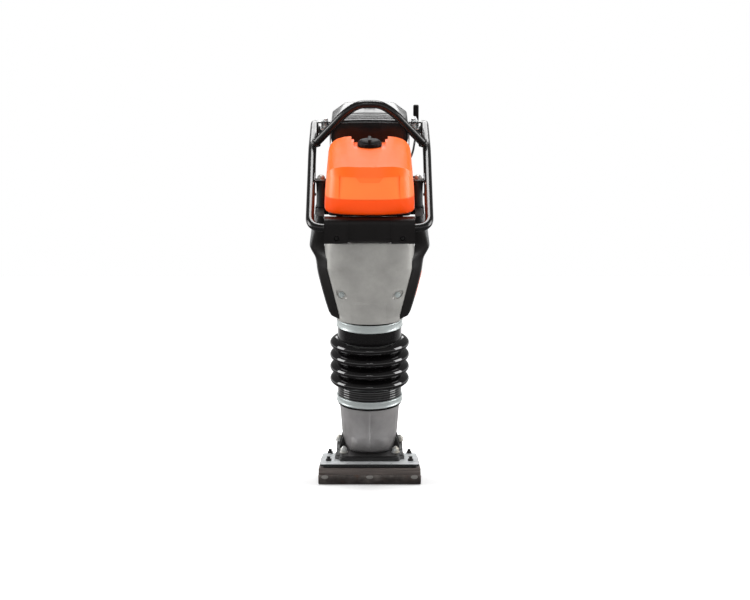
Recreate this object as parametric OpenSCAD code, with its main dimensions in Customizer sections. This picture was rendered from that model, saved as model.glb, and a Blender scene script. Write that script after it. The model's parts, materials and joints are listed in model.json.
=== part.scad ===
// Upright jumping jack rammer: a percussion tamper with a leaning leg, a laminated shoe,
// a bellows, a gear case, a small upright engine, a front tank and a floating tube handle.
// The row frame has +Z up, the sole on the ground at the origin and the front towards -Y.

/* [Stance] */
// Forward lean of the leg from the vertical, degrees
lean = 14.5; // [10:0.5:16]
// Where the leg's axis meets the ground, behind the middle of the sole
foot_y = 35; // [25:1:45]

/* [Shoe] */
// Width of the shoe
shoe_w = 280; // [260:5:300]
// Length of the shoe
shoe_l = 345; // [335:5:360]
// Thickness of the steel sole plate
sole_t = 6; // [5:0.5:8]
// Height of the turned-up steel lip at each end
lip_h = 28; // [24:1:32]
// Radius of the turned-up ends
toe_r = 24; // [18:1:24]

/* [Leg] */
// Outer radius of the leg casting under the bellows
leg_r = 84; // [82:0.5:84]
// Outer radius of the spring cylinder
spring_tube_r = 50; // [50:0.5:52]

/* [Bellows] */
// Outer radius of a convolution
bellows_r = 109.5; // [104:0.5:112]
// Number of convolutions
folds = 4; // [3:1:5]

/* [Crank drive] */
// Distance of the crank pin from the gear's centre
crank_r = 17; // [14:0.5:17]
// Length of the connecting rod between its eyes
rod_l = 110; // [110:1:112]
// Gear module
gear_m = 2.2; // [2.2:0.1:2.2]
// Teeth of the crank gear
gear_teeth = 60; // [60:1:60]
// Teeth of the pinion
pinion_teeth = 10; // [10:1:10]

/* [Handle] */
// Radius of the handle tube
tube_r = 11.5; // [10:0.5:12]
// Sideways distance of each arm's centre line
arm_x = 160; // [156:1:165]

/* [Tank and hood] */
// Half width of the tank at its base
tank_x = 121; // [112:1:122]
// Half width of the hood
hood_x = 108; // [100:1:110]

/* [Hidden] */
$fn = 48;
fit = 0.05;

// Heights along the leg's axis, measured from where it meets the ground
crank_w = 613;
pinion_w = crank_w + gear_m * (gear_teeth + pinion_teeth) / 2;
pin_w = crank_w - crank_r;
wrist_w = pin_w - rod_l;
neck_bottom = 440;
neck_top = 525;
cyl_bottom = 112;
cyl_top = 432;
ram_w = 256;
bracket_w = 96;
shoe_top = 56.5;

// Places along the fore-and-aft axis of the machine
case_front = -60;
case_rear = 58;
block_front = 112;
block_rear = 235;
shroud_rear = 300;
column_v = 69;
rear_mount_v = 315;
lever_v = 410;

// Front and rear isolators
column_x = 133;
column_r = 15;
beam_top = 768;
column_top = 838;
rear_x = 127;
rear_buffer_r = 11;
rear_base = 942;
rear_top = 957;

// ---------------------------------------------------------------- helpers

// Everything but the shoe is drawn upright along the leg's axis, then leant forward.
module leant() {
    translate([0, foot_y, 0])
        rotate([lean, 0, 0])
            children();
}

module both_sides() {
    children();
    mirror([1, 0, 0])
        children();
}

// A cylinder along the fore-and-aft axis, from v0 to v1
module rod_v(x, w, r, v0, v1) {
    translate([x, v0, w])
        rotate([-90, 0, 0])
            cylinder(r = r, h = v1 - v0);
}

// A cylinder across the machine, from x0 to x1
module rod_x(v, w, r, x0, x1) {
    translate([x0, v, w])
        rotate([0, 90, 0])
            cylinder(r = r, h = x1 - x0);
}

// A cylinder along the leg's axis, from w0 to w1
module rod_w(x, v, r, w0, w1) {
    translate([x, v, w0])
        cylinder(r = r, h = w1 - w0);
}

module block(x0, x1, v0, v1, w0, w1) {
    translate([x0, v0, w0])
        cube([x1 - x0, v1 - v0, w1 - w0]);
}

// A flat shape in x and w, drawn out from v0 to v1
module slab_v(v0, v1) {
    translate([0, v1, 0])
        rotate([90, 0, 0])
            linear_extrude(v1 - v0)
                children();
}

// A flat shape in v and w, drawn out from x0 to x1
module slab_x(x0, x1) {
    translate([x0, 0, 0])
        rotate([90, 0, 90])
            linear_extrude(x1 - x0)
                children();
}

// A rectangle with round corners, as true arcs
module soft_rect(x0, x1, y0, y1, r) {
    translate([x0 + r, y0])
        square([x1 - x0 - 2 * r, y1 - y0]);
    translate([x0, y0 + r])
        square([x1 - x0, y1 - y0 - 2 * r]);
    for (x = [x0 + r, x1 - r], y = [y0 + r, y1 - r])
        translate([x, y])
            circle(r);
}

// A hexagon-headed bolt with a washer, its shank down from the origin
module hex_bolt(r, shank) {
    cylinder(r = r * 2.1, h = r * 0.3);
    translate([0, 0, r * 0.3])
        cylinder(r = r * 1.75, h = r * 1.2, $fn = 6);
    translate([0, 0, -shank])
        cylinder(r = r, h = shank);
}

function unit(a) = a / norm(a);

// A corner as a smooth curve from p to q, pulled towards c
function bend(p, c, q, n) = [
    for (i = [0:n])
        let (t = i / n)
        (1 - t) * (1 - t) * p + 2 * t * (1 - t) * c + t * t * q
];

function corner(a, b, c, r, n) =
    let (
        s = min(r, 0.49 * norm(a - b), 0.49 * norm(c - b))
    )
    bend(b + unit(a - b) * s, b, b + unit(c - b) * s, n);

// A route through hand-chosen points with its corners rounded
function open_route(pts, r, n) = [
    pts[0],
    for (i = [1:len(pts) - 2])
        each corner(pts[i - 1], pts[i], pts[i + 1], r, n),
    pts[len(pts) - 1],
];

function ring_route(pts, r, n) =
    let (m = len(pts))
    [
        for (i = [0:m - 1])
            each corner(pts[(i + m - 1) % m], pts[i], pts[(i + 1) % m], r, n),
    ];

function skin(n, k, closed) = [
    for (i = [0:(closed ? n - 1 : n - 2)], j = [0:k - 1])
        let (
            a = i * k + j,
            b = i * k + (j + 1) % k,
            c = ((i + 1) % n) * k + (j + 1) % k,
            d = ((i + 1) % n) * k + j
        )
        each [[a, d, c], [a, c, b]]
];

function lids(n, k) = [
    [for (j = [0:k - 1]) j],
    [for (j = [0:k - 1]) n * k - 1 - j],
];

// A round tube or wire along a route
module sweep(route, r, sides, up, closed = false) {
    n = len(route);
    pts = [
        for (i = [0:n - 1])
            let (
                before = closed ? route[(i + n - 1) % n] : route[max(i - 1, 0)],
                after = closed ? route[(i + 1) % n] : route[min(i + 1, n - 1)],
                t = unit(after - before),
                s = unit(cross(t, up)),
                u = cross(s, t)
            )
            for (j = [0:sides - 1])
                let (a = -360 * j / sides)
                route[i] + r * (cos(a) * s + sin(a) * u)
    ];
    polyhedron(pts, concat(skin(n, sides, closed), closed ? [] : lids(n, sides)), 10);
}

// A solid through a stack of closed outlines
module loft(rings) {
    n = len(rings);
    k = len(rings[0]);
    polyhedron([for (r = rings) each r], concat(skin(n, k, false), lids(n, k)), 10);
}

// Straight stretches between stations: value at w of a table of [w, value] pairs
function along(table, w) = lookup(w, table);

// ---------------------------------------------------------------- gears

function inv_point(base, a) =
    let (t = tan(a))
    [base * sqrt(1 + t * t), t * 180 / PI - a];

// One flank and tip of every tooth of an involute stub gear
module gear_2d(teeth, backlash) {
    pitch_r = gear_m * teeth / 2;
    base_r = pitch_r * cos(25);
    tip_r = pitch_r + 0.8 * gear_m;
    root_r = pitch_r - 1.0 * gear_m;
    low_r = max(base_r, root_r);
    half = 90 / teeth - backlash / 2 / pitch_r * 180 / PI;
    at_pitch = tan(25) * 180 / PI - 25;
    function flank(r) =
        let (a = acos(min(1, base_r / r)))
        half + at_pitch - (tan(a) * 180 / PI - a);
    steps = 3;
    radii = [for (i = [0:steps]) low_r + (tip_r - low_r) * i / steps];
    polygon([
        for (i = [0:teeth - 1])
            let (mid = 360 * i / teeth)
            each concat(
                [root_r * [cos(mid - flank(low_r)), sin(mid - flank(low_r))]],
                [for (r = radii) r * [cos(mid - flank(r)), sin(mid - flank(r))]],
                [for (j = [0:steps]) let (r = radii[steps - j])
                    r * [cos(mid + flank(r)), sin(mid + flank(r))]],
                [root_r * [cos(mid + flank(low_r)), sin(mid + flank(low_r))]]
            )
    ]);
}

// ---------------------------------------------------------------- gear case

module case_outline(grow) {
    translate([0, crank_w])
        circle(84 + grow);
    translate([0, pinion_w])
        circle(48 + grow);
    polygon([
        [-84 - grow, crank_w],
        [84 + grow, crank_w],
        [46 + grow, pinion_w + 16],
        [-46 - grow, pinion_w + 16],
    ]);
}

module crankcase() {
    color([0.55, 0.55, 0.54])
        leant() difference() {
            union() {
                slab_v(case_front, case_rear)
                    case_outline(0);
                slab_v(case_front, case_rear)
                    polygon([[-72, 515], [72, 515], [84, crank_w], [-84, crank_w]]);
                rod_w(0, 0, leg_r, neck_bottom, neck_top);
                both_sides()
                    slab_v(-71, case_front + 20)
                        polygon([[50, 588], [83, 567], [83, 549], [50, 538]]);
            }
            // Gear and conrod space, open to the rear
            rod_v(0, crank_w, 74, -50, case_rear + 1);
            rod_v(0, pinion_w, 36, -50, case_rear + 1);
            // Seat and flange of the guide cylinder, and the way through for the ram
            rod_w(0, 0, 62 + fit, neck_bottom - 1, 500);
            rod_w(0, 0, 72 + fit, neck_bottom - 1, 450);
            rod_w(0, 0, 42, 499, crank_w);
            // Threads of the guard's bolts
            both_sides()
                rod_v(76, 558, 3.8 + fit, -91, -62);
        }
}

module clutch_housing() {
    color([0.5, 0.5, 0.5])
        leant() difference() {
            union() {
                slab_v(case_rear, case_rear + 20)
                    difference() {
                        case_outline(0);
                        translate([-100, 500])
                            square([200, 29.5]);
                    }
                rod_v(0, pinion_w, 62, case_rear, block_front);
            }
            rod_v(0, pinion_w, 54, case_rear + 20, block_front + 1);
            rod_v(0, pinion_w, 24 + fit, case_rear + 4, case_rear + 21);
            rod_v(0, pinion_w, 12, case_rear - 1, case_rear + 5);
            rod_v(0, crank_w, 36 + fit, case_rear - 1, case_rear + 16);
        }
}

function guard_x(w) = along([[470, 89.5], [491, 89.5], [629, 121.5], [760, 121.5]], w);
function guard_v(w) = along([[470, 89.5], [491, 91], [629, 105], [760, 105]], w);

// Front half outline of the guard at height w, moved inward by t
function guard_ring(w, t) =
    let (
        a = guard_x(w) - t,
        b = guard_v(w) - t,
        p = along([[470, 2], [491, 2.05], [629, 3.6], [760, 4.2]], w)
    )
    [
        for (i = [0:24])
            let (
                s = 180 + 180 * i / 24,
                c = cos(s),
                d = sin(s)
            )
            [sign(c) * a * pow(abs(c), 2 / p), sign(d) * (b - 30) * pow(abs(d), 2 / p) - 30, w]
    ];

module front_guard() {
    levels = [474, 491, 530, 580, 629, 667, 705];
    color([0.56, 0.55, 0.53])
        leant() difference() {
            loft([for (w = levels) guard_ring(w, 0)]);
            loft([for (w = [470, 491, 530, 580, 629, 667, 710]) guard_ring(w, 4.5)]);
            block(-130, 130, -30.5, -20, 460, 720);
            both_sides()
                rod_v(76, 558, 4.2, -120, -70);
        }
}

// ---------------------------------------------------------------- covers

function cover_x(w) = along(
    [[481, 107], [533, 123], [612, 142], [647, 147], [685, 163], [716, 157], [745, 150], [768, 144]],
    w
);
function cover_rear(w) = along(
    [[481, 30], [533, 70], [612, 120], [647, 150], [740, 150], [744, 40], [775, 30]],
    w
);

// Section of one cover's wall: its outer face, then back along the inner face
function cover_ring(w) =
    let (
        x = cover_x(w),
        g = guard_x(w) + 1.5,
        b = cover_rear(w)
    )
    [
        for (p = [
            [g, -48], [x - 12, -46], [x - 3, -41], [x, -32], [x, b],
            [x - 3.5, b], [x - 3.5, -31], [x - 6, -38.5], [x - 13.5, -42.5], [g, -44.5],
        ])
            [p[0], p[1], w]
    ];

// Outline of the cover's sloping top
function cover_lid(w, rise) =
    let (
        x = cover_x(w),
        g = guard_x(w) + 1.5,
        b = cover_rear(w)
    )
    [
        for (p = [[g, -48], [x - 12, -46], [x - 3, -41], [x, -32], [x, b], [g, b]])
            [p[0], p[1], w + rise * (p[1] + 48)]
    ];

module side_cover() {
    loft([for (w = [481, 533, 580, 612, 647, 685, 716, 740, 744, 764]) cover_ring(w)]);
    loft([cover_lid(763, 0), cover_lid(767, 0.08)]);
}

module side_cover_left() {
    color([0.17, 0.17, 0.18])
        leant()
            mirror([1, 0, 0])
                side_cover();
}

module side_cover_right() {
    color([0.17, 0.17, 0.18])
        leant()
            side_cover();
}

// ---------------------------------------------------------------- leg guide

module guide_cylinder() {
    color([0.6, 0.6, 0.62])
        leant() difference() {
            union() {
                rod_w(0, 0, 62, 290, 499.9);
                rod_w(0, 0, 72, neck_bottom, 449.9);
            }
            rod_w(0, 0, 54.5, 289, 501);
        }
}

module guide_bushes() {
    color([0.75, 0.6, 0.35])
        leant()
            for (w = [298, 380])
                difference() {
                    rod_w(0, 0, 54.5 - fit, w, w + 32);
                    rod_w(0, 0, spring_tube_r + fit, w - 1, w + 33);
                }
}

module band(r, w0, w1, t) {
    difference() {
        rod_w(0, 0, r, w0, w1);
        rod_w(0, 0, r - t, w0 - 1, w1 + 1);
    }
    // Screw lug of the band at the back
    block(-14, -9, r - 1, r + 12, w0 + 3, w1 - 3);
    block(9, 14, r - 1, r + 12, w0 + 3, w1 - 3);
    rod_x(r + 6.5, (w0 + w1) / 2, 3, -18, 18);
}

module upper_clamp() {
    color([0.62, 0.66, 0.64])
        leant()
            band(90.6, 448, 470, 2.5);
}

module lower_clamp() {
    color([0.62, 0.66, 0.64])
        leant()
            band(90.6, 232, 251, 2.5);
}

fold_low = 300;
fold_pitch = 138 / folds;
// Radius of the bellows along its length, as a smooth row of bulges
function bulge(w) =
    let (t = (w - fold_low + fold_pitch / 2) / fold_pitch)
    t <= 0 || t >= folds ? leg_r + 4 : leg_r + 4 + (bellows_r - leg_r - 4) * pow(sin(180 * (t - floor(t))), 0.7);

module bellows() {
    steps = 8 * folds;
    low = fold_low - fold_pitch / 2;
    high = low + fold_pitch * folds;
    ws = [for (i = [0:steps]) low + (high - low) * i / steps];
    color([0.04, 0.04, 0.04])
        leant()
            rotate_extrude($fn = 96)
                polygon(concat(
                    [[leg_r + fit, 226], [leg_r + 4, 226]],
                    [for (w = ws) [bulge(w), w]],
                    [[leg_r + 4, 473], [leg_r + fit, 473]],
                    [for (i = [0:steps]) let (w = ws[steps - i]) [bulge(w) - 3.9, w]]
                ));
}

// ---------------------------------------------------------------- tank and hood

// Outline of the tank at height w, moved inward by t: a bowed nose and a square back
function tank_ring(w, t) =
    let (
        a = along([[786, tank_x - 5], [793, tank_x], [917, tank_x - 8], [960, tank_x - 12]], w) - t,
        nose = along([[786, -127], [793, -134], [890, -131], [917, -117], [960, -92]], w) + t,
        back = 100 - t,
        r = 22
    )
    concat(
        [
            for (i = [0:16])
                let (s = 180 + 180 * i / 16, c = cos(s), d = sin(s))
                [sign(c) * a * pow(abs(c), 2 / 2.9), -60 + (nose + 60) * pow(abs(d), 2 / 2.3), w]
        ],
        [
            for (q = [0:1], i = [0:4])
                let (s = 90 * q + 22.5 * i, x = (q == 0 ? 1 : -1) * (a - 10 - r))
                [x + r * cos(s), back - r + r * sin(s), w]
        ]
    );

module top_plane_cut(drop) {
    translate([0, -115, 917 - drop])
        rotate([atan(39 / 205), 0, 0])
            translate([-200, -100, 0])
                cube([400, 500, 100]);
}

module fuel_tank() {
    color([0.95, 0.3, 0.05])
        leant() difference() {
            loft([for (w = [788, 794, 850, 890, 917, 962]) tank_ring(w, 0)]);
            top_plane_cut(0);
            // Recess for the cap, open to the back
            block(-43, 43, 4, 110, 941, 980);
            block(-50, 50, 30, 110, 950, 980);
            difference() {
                loft([for (w = [792, 798, 850, 886, 912, 950]) tank_ring(w, 4)]);
                top_plane_cut(5);
                block(-48, 48, 0, 110, 936, 980);
            }
            rod_w(0, 46, 22, 900, 960);
        }
}

module fuel_cap() {
    color([0.03, 0.03, 0.03])
        leant() {
            difference() {
                union() {
                    rod_w(0, 46, 34, 942, 952);
                    rod_w(0, 46, 30, 952, 960);
                    block(-5, 5, 14, 78, 952, 964);
                    rod_w(0, 46, 21, 925, 943);
                }
                rod_w(0, 46, 17, 924, 948);
            }
        }
}

// Section of the hood at distance v from the leg's axis, moved inward by t
function hood_ring(v, t) =
    let (
        top = along([[195, 984], [240, 992], [400, 1000], [420, 984]], v) - t,
        a = hood_x - t,
        low = along([[195, 918], [420, 918]], v) - (t > 0 ? 2 : 0),
        shoulder = along([[195, 974], [240, 975], [400, 972], [420, 962]], v) - t,
        crown = along([[195, 96], [240, 84], [420, 68]], v) - t
    )
    [
        for (p = [
            [-a + 4, low], [-a, low + 12], [-a, shoulder], [-crown, top], [0, top + 3],
            [crown, top], [a, shoulder], [a, low + 12], [a - 4, low],
        ])
            [p[0], v, p[1]]
    ];

module hood() {
    stations = [196, 240, 300, 360, 400, 420];
    color([0.05, 0.05, 0.05])
        leant() difference() {
            loft([for (v = stations) hood_ring(v, 0)]);
            loft([for (v = [200, 240, 300, 360, 398, 416]) hood_ring(v, 4)]);
        }
}

module filter_base() {
    color([0.08, 0.08, 0.08])
        leant() difference() {
            union() {
                block(-104, 104, 195, 420, 910, 918);
                block(-20, 30, 170, 196, 912, 918);
            }
            rod_w(60, 262, 16, 900, 930);
        }
}

module filter_element() {
    color([0.85, 0.8, 0.6])
        leant() difference() {
            block(-80, 90, 215, 385, 918, 962);
            block(-68, 78, 227, 373, 917, 952);
        }
}

// ---------------------------------------------------------------- engine

module engine_block() {
    color([0.6, 0.6, 0.6])
        leant() difference() {
            union() {
                slab_v(block_front, block_rear)
                    soft_rect(-74, 74, 618, 746, 16);
                block(-84, 84, block_front + 8, block_rear - 8, 618, 628);
                rod_v(0, pinion_w, 62, block_front, block_front + 8);
            }
            rod_v(0, pinion_w, 46, block_front + 16, block_rear - 14);
            rod_v(0, pinion_w, 20 + fit, block_front - 1, block_rear + 1);
            rod_w(0, 174, 27, pinion_w, 760);
            // Oil filler bore
            rod_x(180, 660, 9, 60, 80);
        }
}

module fin_stack(w0, count, pitch, half_x, half_v, mid_v) {
    for (i = [0:count - 1])
        block(-half_x, half_x, mid_v - half_v, mid_v + half_v, w0 + i * pitch, w0 + i * pitch + 3);
}

module cylinder_part() {
    color([0.62, 0.62, 0.62])
        leant() difference() {
            union() {
                rod_w(0, 174, 38, 746, 840);
                block(-50, 50, 130, 218, 746, 754);
                fin_stack(762, 9, 9, 58, 52, 174);
            }
            rod_w(0, 174, 27, 745, 841);
        }
}

module cylinder_head() {
    color([0.5, 0.5, 0.5])
        leant() difference() {
            union() {
                block(-56, 56, 124, 224, 840, 846);
                block(-44, 44, 138, 212, 846, 880);
                fin_stack(850, 3, 9, 58, 52, 174);
                block(-48, 48, 134, 216, 880, 902);
            }
            rod_w(0, 174, 26, 839, 850);
            rod_x(174, 862, 7 + fit, -60, -20);
            rod_x(196, 862, 11, 30, 70);
        }
}

module fan_shroud() {
    color([0.06, 0.06, 0.06])
        leant() difference() {
            union() {
                rod_v(0, pinion_w, 96, block_rear, shroud_rear);
                block(-62, 62, block_rear, 292, pinion_w, 880);
                block(-62, 62, 228, block_rear, 748, 880);
            }
            rod_v(0, pinion_w, 91, block_rear - 1, shroud_rear - 6);
            block(-58, 58, 220, 288, pinion_w, 876);
            rod_v(0, pinion_w, 60, block_rear - 1, shroud_rear + 1);
        }
}

module recoil_housing() {
    color([0.09, 0.09, 0.09])
        leant() difference() {
            union() {
                rod_v(0, pinion_w, 84, shroud_rear, 318);
                rod_v(0, pinion_w, 66, 318, 334);
                rod_v(52, pinion_w + 44, 14, shroud_rear, 340);
            }
            rod_v(0, pinion_w, 80, shroud_rear - 1, 313);
            rod_v(0, pinion_w, 62, 312, 330);
            rod_v(52, pinion_w + 44, 4, shroud_rear - 1, 341);
            for (i = [0:11])
                translate([0, 320, pinion_w])
                    rotate([0, 30 * i, 0])
                        translate([38, 0, -2.5])
                            cube([20, 20, 5]);
        }
}

module muffler() {
    color([0.3, 0.28, 0.26])
        leant() difference() {
            union() {
                slab_v(150, 262)
                    soft_rect(-112, -64, 766, 844, 16);
                rod_x(200, 828, 9, -68, -58.3);
                rod_v(-92, 790, 8, 262, 276);
            }
            slab_v(154, 258)
                soft_rect(-108, -68, 770, 840, 13);
            rod_x(200, 828, 6.5, -70, -50);
            rod_v(-92, 790, 6, 250, 277);
        }
}

module muffler_guard() {
    color([0.08, 0.08, 0.08])
        leant() difference() {
            slab_v(146, 268)
                difference() {
                    soft_rect(-119, -70, 759, 848, 18);
                    soft_rect(-116, -40, 762, 845, 15);
                }
            for (i = [0:5], j = [0:2])
                block(-125, -114, 156 + i * 18, 166 + i * 18, 778 + j * 22, 793 + j * 22);
        }
}

module carburettor() {
    color([0.65, 0.65, 0.66])
        leant() difference() {
            union() {
                rod_x(196, 862, 14, 58.3, 74);
                block(74, 104, 176, 216, 846, 880);
                rod_w(88, 196, 13, 826, 846);
                rod_x(196, 866, 15, 104, 112);
                rod_w(88, 236, 14, 850, 910);
                block(76, 100, 214, 240, 852, 880);
            }
            rod_x(196, 862, 9, 57, 105);
            rod_w(88, 236, 10, 860, 911);
        }
}

hose_route = [[123, 96, 846], [122, 104, 826], [112, 130, 812], [98, 168, 820], [96, 178, 835]];

module fuel_hose() {
    color([0.05, 0.05, 0.05])
        leant()
            sweep(open_route(hose_route, 18, 5), 4, 10, [1, 0, 0.2]);
}

module spark_plug() {
    color([0.07, 0.07, 0.07])
        leant() {
            rod_x(174, 862, 7, -70, -46);
            rod_x(174, 862, 12, -84, -70);
            rod_w(-78, 174, 9, 862, 892);
        }
}

// ---------------------------------------------------------------- isolators

module mount_beam() {
    color([0.07, 0.07, 0.07])
        leant() difference() {
            union() {
                block(-150, 150, column_v - 15, column_v + 15, beam_top - 6, beam_top);
                block(-44, 44, column_v - 11, column_v + 15, 753, beam_top - 6);
                both_sides()
                    block(60, 150, column_v - 15, column_v - 11, 748, beam_top - 6);
            }
            both_sides()
                rod_w(column_x, column_v, 5 + fit, 740, beam_top + 1);
        }
}

module rear_brackets() {
    color([0.75, 0.76, 0.76])
        leant()
            both_sides() {
                block(110, 140, rear_mount_v - 15, rear_mount_v + 15, rear_base - 4, rear_base);
                block(110, 114, rear_mount_v - 15, rear_mount_v + 15, 884, rear_base - 4);
                block(88, 110, rear_mount_v - 15, rear_mount_v + 15, 884, 888);
            }
}

module front_buffers() {
    color([0.04, 0.04, 0.04])
        leant()
            both_sides()
                difference() {
                    rod_w(column_x, column_v, column_r, beam_top, column_top);
                    rod_w(column_x, column_v, 5.2, beam_top - 1, column_top + 1);
                }
}

module rear_buffers() {
    color([0.7, 0.7, 0.7])
        leant()
            both_sides()
                rod_w(rear_x, rear_mount_v, rear_buffer_r, rear_base, rear_top);
}

// ---------------------------------------------------------------- rotating parts

module race(x, w, inner, outer, v0, v1) {
    difference() {
        rod_v(x, w, outer, v0, v1);
        rod_v(x, w, inner + fit, v0 - 1, v1 + 1);
    }
}

module bearings() {
    color([0.8, 0.8, 0.82])
        leant() {
            race(0, crank_w, 17.5, 36, case_rear, case_rear + 15.9);
            race(0, pinion_w, 9.5, 24, case_rear + 5, case_rear + 19.9);
            race(0, pinion_w, 11, 20, block_front + 1, block_front + 14);
            race(0, pinion_w, 11, 20, block_rear - 14, block_rear - 1);
        }
}

module crankshaft() {
    color([0.6, 0.6, 0.62])
        leant() {
            rod_v(0, pinion_w, 11, 88, 306);
            rod_v(0, pinion_w, 34, 140, 152);
            rod_v(0, pinion_w, 34, 196, 208);
        }
}

module flywheel() {
    color([0.55, 0.55, 0.56])
        leant() difference() {
            union() {
                rod_v(0, pinion_w, 78, 244, 258);
                rod_v(0, pinion_w, 24, 244, 290);
                for (i = [0:11])
                    translate([0, 0, pinion_w])
                        rotate([0, 30 * i, 0])
                            block(40, 76, 257, 276, -1.5, 1.5);
            }
            rod_v(0, pinion_w, 11, 243, 291);
        }
}

module clutch_hub() {
    color([0.5, 0.5, 0.52])
        leant() difference() {
            union() {
                rod_v(0, pinion_w, 17, 88, 104);
                block(-6, 6, 88, 102, pinion_w - 30, pinion_w + 30);
            }
            rod_v(0, pinion_w, 11, 87, 105);
        }
}

module clutch_shoes() {
    color([0.3, 0.27, 0.24])
        leant()
            both_sides()
                difference() {
                    rod_v(0, pinion_w, 43, 89, 102);
                    rod_v(0, pinion_w, 30, 88, 103);
                    block(-50, 8, 80, 110, pinion_w - 60, pinion_w + 60);
                }
}

module pinion_shaft() {
    color([0.7, 0.7, 0.72])
        leant() {
            rod_v(0, pinion_w, 8, 10, 18);
            translate([0, 38, pinion_w])
                rotate([90, 0, 0])
                    linear_extrude(20)
                        rotate(90 + 180 / pinion_teeth)
                            gear_2d(pinion_teeth, 0.35);
            rod_v(0, pinion_w, 9.5, 38, 80);
        }
}

module clutch_drum() {
    color([0.5, 0.5, 0.52])
        leant() difference() {
            rod_v(0, pinion_w, 48, 80, 106);
            rod_v(0, pinion_w, 44.5, 84, 107);
        }
}

module crank_gear() {
    color([0.66, 0.66, 0.68])
        leant() {
            difference() {
                translate([0, 36, crank_w])
                    rotate([90, 0, 0])
                        linear_extrude(18)
                            rotate(90)
                                gear_2d(gear_teeth, 0.35);
                for (i = [0:5])
                    if (i != 4 && i != 5)
                        translate([0, 0, crank_w])
                            rotate([0, 60 * i + 30, 0])
                                rod_v(42, 0, 11, 17, 37);
            }
            rod_v(0, pin_w, 19, 9, 18);
            rod_v(0, pin_w, 12, -9, 9);
            rod_v(0, crank_w, 17.5, 36, case_rear + 15);
        }
}

module connecting_rod() {
    color([0.6, 0.6, 0.62])
        leant() difference() {
            union() {
                rod_v(0, pin_w, 21, -8, 8);
                rod_v(0, wrist_w, 15, -8, 8);
                block(-9, 9, -8, 8, wrist_w, pin_w);
            }
            rod_v(0, pin_w, 12 + fit, -9, 9);
            rod_v(0, wrist_w, 7 + fit, -9, 9);
        }
}

module wrist_pin() {
    color([0.8, 0.8, 0.82])
        leant()
            rod_v(0, wrist_w, 7, -8.2, 8.2);
}

module piston_rod() {
    color([0.75, 0.75, 0.77])
        leant() difference() {
            rod_w(0, 0, 22, ram_w + 12, wrist_w + 16);
            block(-30, 30, -8.7, 8.7, 430, wrist_w + 20);
            rod_v(0, wrist_w, 7.6, -30, 30);
        }
}

module ram_piston() {
    color([0.55, 0.55, 0.57])
        leant()
            rod_w(0, 0, 42.6, ram_w - 12, ram_w + 12);
}

// ---------------------------------------------------------------- leg and shoe

module spring_cylinder() {
    color([0.58, 0.58, 0.6])
        leant() difference() {
            rod_w(0, 0, spring_tube_r, cyl_bottom, cyl_top);
            rod_w(0, 0, 43, cyl_bottom + 14, cyl_top - 12);
            rod_w(0, 0, 22 + fit, cyl_top - 13, cyl_top + 1);
        }
}

function coil(w0, w1, turns, r) = [
    for (i = [0:turns * 12])
        let (a = 30 * i)
        [r * cos(a), r * sin(a), w0 + (w1 - w0) * i / (turns * 12)]
];

module ram_springs() {
    color([0.4, 0.4, 0.42])
        leant() {
            sweep(coil(cyl_bottom + 20, ram_w - 18, 5, 34), 5, 8, [0, 0, 1]);
            sweep(coil(ram_w + 18, cyl_top - 18, 5, 34), 5, 8, [0, 0, 1]);
        }
}

module leg_casting() {
    color([0.6, 0.58, 0.57])
        leant()
            rotate_extrude($fn = 96)
                polygon([
                    [0, 86], [54, 86], [60, 91], [65, 98], [69, 109], [76.8, 141.5], [leg_r - 1, 225],
                    [leg_r, 228], [leg_r, 264],
                    [78, 264], [76, 232], [70, 152], [spring_tube_r + fit, 152],
                    [spring_tube_r + fit, cyl_bottom], [0, cyl_bottom],
                ]);
}

module under_leg(w) {
    leant()
        translate([-200, -300, -200])
            cube([400, 600, 200 + w]);
}

module foot_bracket() {
    color([0.05, 0.05, 0.05])
        difference() {
            intersection() {
                translate([0, 0, shoe_top])
                    linear_extrude(90)
                        polygon([
                            [-82, -84], [82, -84], [86, -30], [97, -20], [97, 92],
                            [60, 104], [-60, 104], [-97, 92], [-97, -20], [-86, -30],
                        ]);
                under_leg(bracket_w);
            }
            // Seat of the leg casting and the lightening pocket below it
            leant()
                rod_w(0, 0, 66, 85.9, bracket_w + 5);
            translate([0, 0, shoe_top - 1])
                linear_extrude(12)
                    soft_rect(-60, 60, -60, 84, 12);
            leant()
                foot_bolt_places()
                    rod_w(0, 0, 6.2, 20, 120);
        }
}

module foot_bolt_places() {
    both_sides() {
        translate([72, -58, 0])
            children();
        translate([85, 42, 0])
            children();
    }
}

module foot_bolts() {
    color([0.78, 0.79, 0.78])
        leant()
            foot_bolt_places()
                translate([0, 0, bracket_w])
                    hex_bolt(6, 18);
}

module shoe_plate() {
    color([0.72, 0.73, 0.73])
        translate([0, 0, shoe_top - 5])
            linear_extrude(5)
                soft_rect(-shoe_w / 2 + 5, shoe_w / 2 - 5, -shoe_l / 2 + 4, shoe_l / 2 - 6, 6);
}

// Side outline of the shoe below height h, with its ends turned up, moved inward by t
module shoe_side(t, h) {
    y1 = shoe_l / 2 - t;
    r = toe_r - t;
    translate([-y1, toe_r])
        square([2 * y1, h - toe_r]);
    translate([-y1 + r, t])
        square([2 * (y1 - r), h - t]);
    for (s = [-1, 1])
        intersection() {
            translate([s * (y1 - r), toe_r])
                circle(r);
            translate([-y1, 0])
                square([2 * y1, h]);
        }
}

module shoe_core() {
    color([0.42, 0.34, 0.3]) {
        slab_x(-shoe_w / 2 + 1, shoe_w / 2 - 1)
            shoe_side(sole_t, 44);
        translate([0, 0, 44])
            linear_extrude(shoe_top - 5 - 44)
                soft_rect(-shoe_w / 2 + 12, shoe_w / 2 - 12, -shoe_l / 2 + 16, shoe_l / 2 - 16, 6);
    }
}

module shoe_sole() {
    color([0.35, 0.32, 0.31])
        slab_x(-shoe_w / 2, shoe_w / 2)
            difference() {
                shoe_side(0, lip_h);
                shoe_side(sole_t, lip_h + 10);
            }
}

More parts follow.
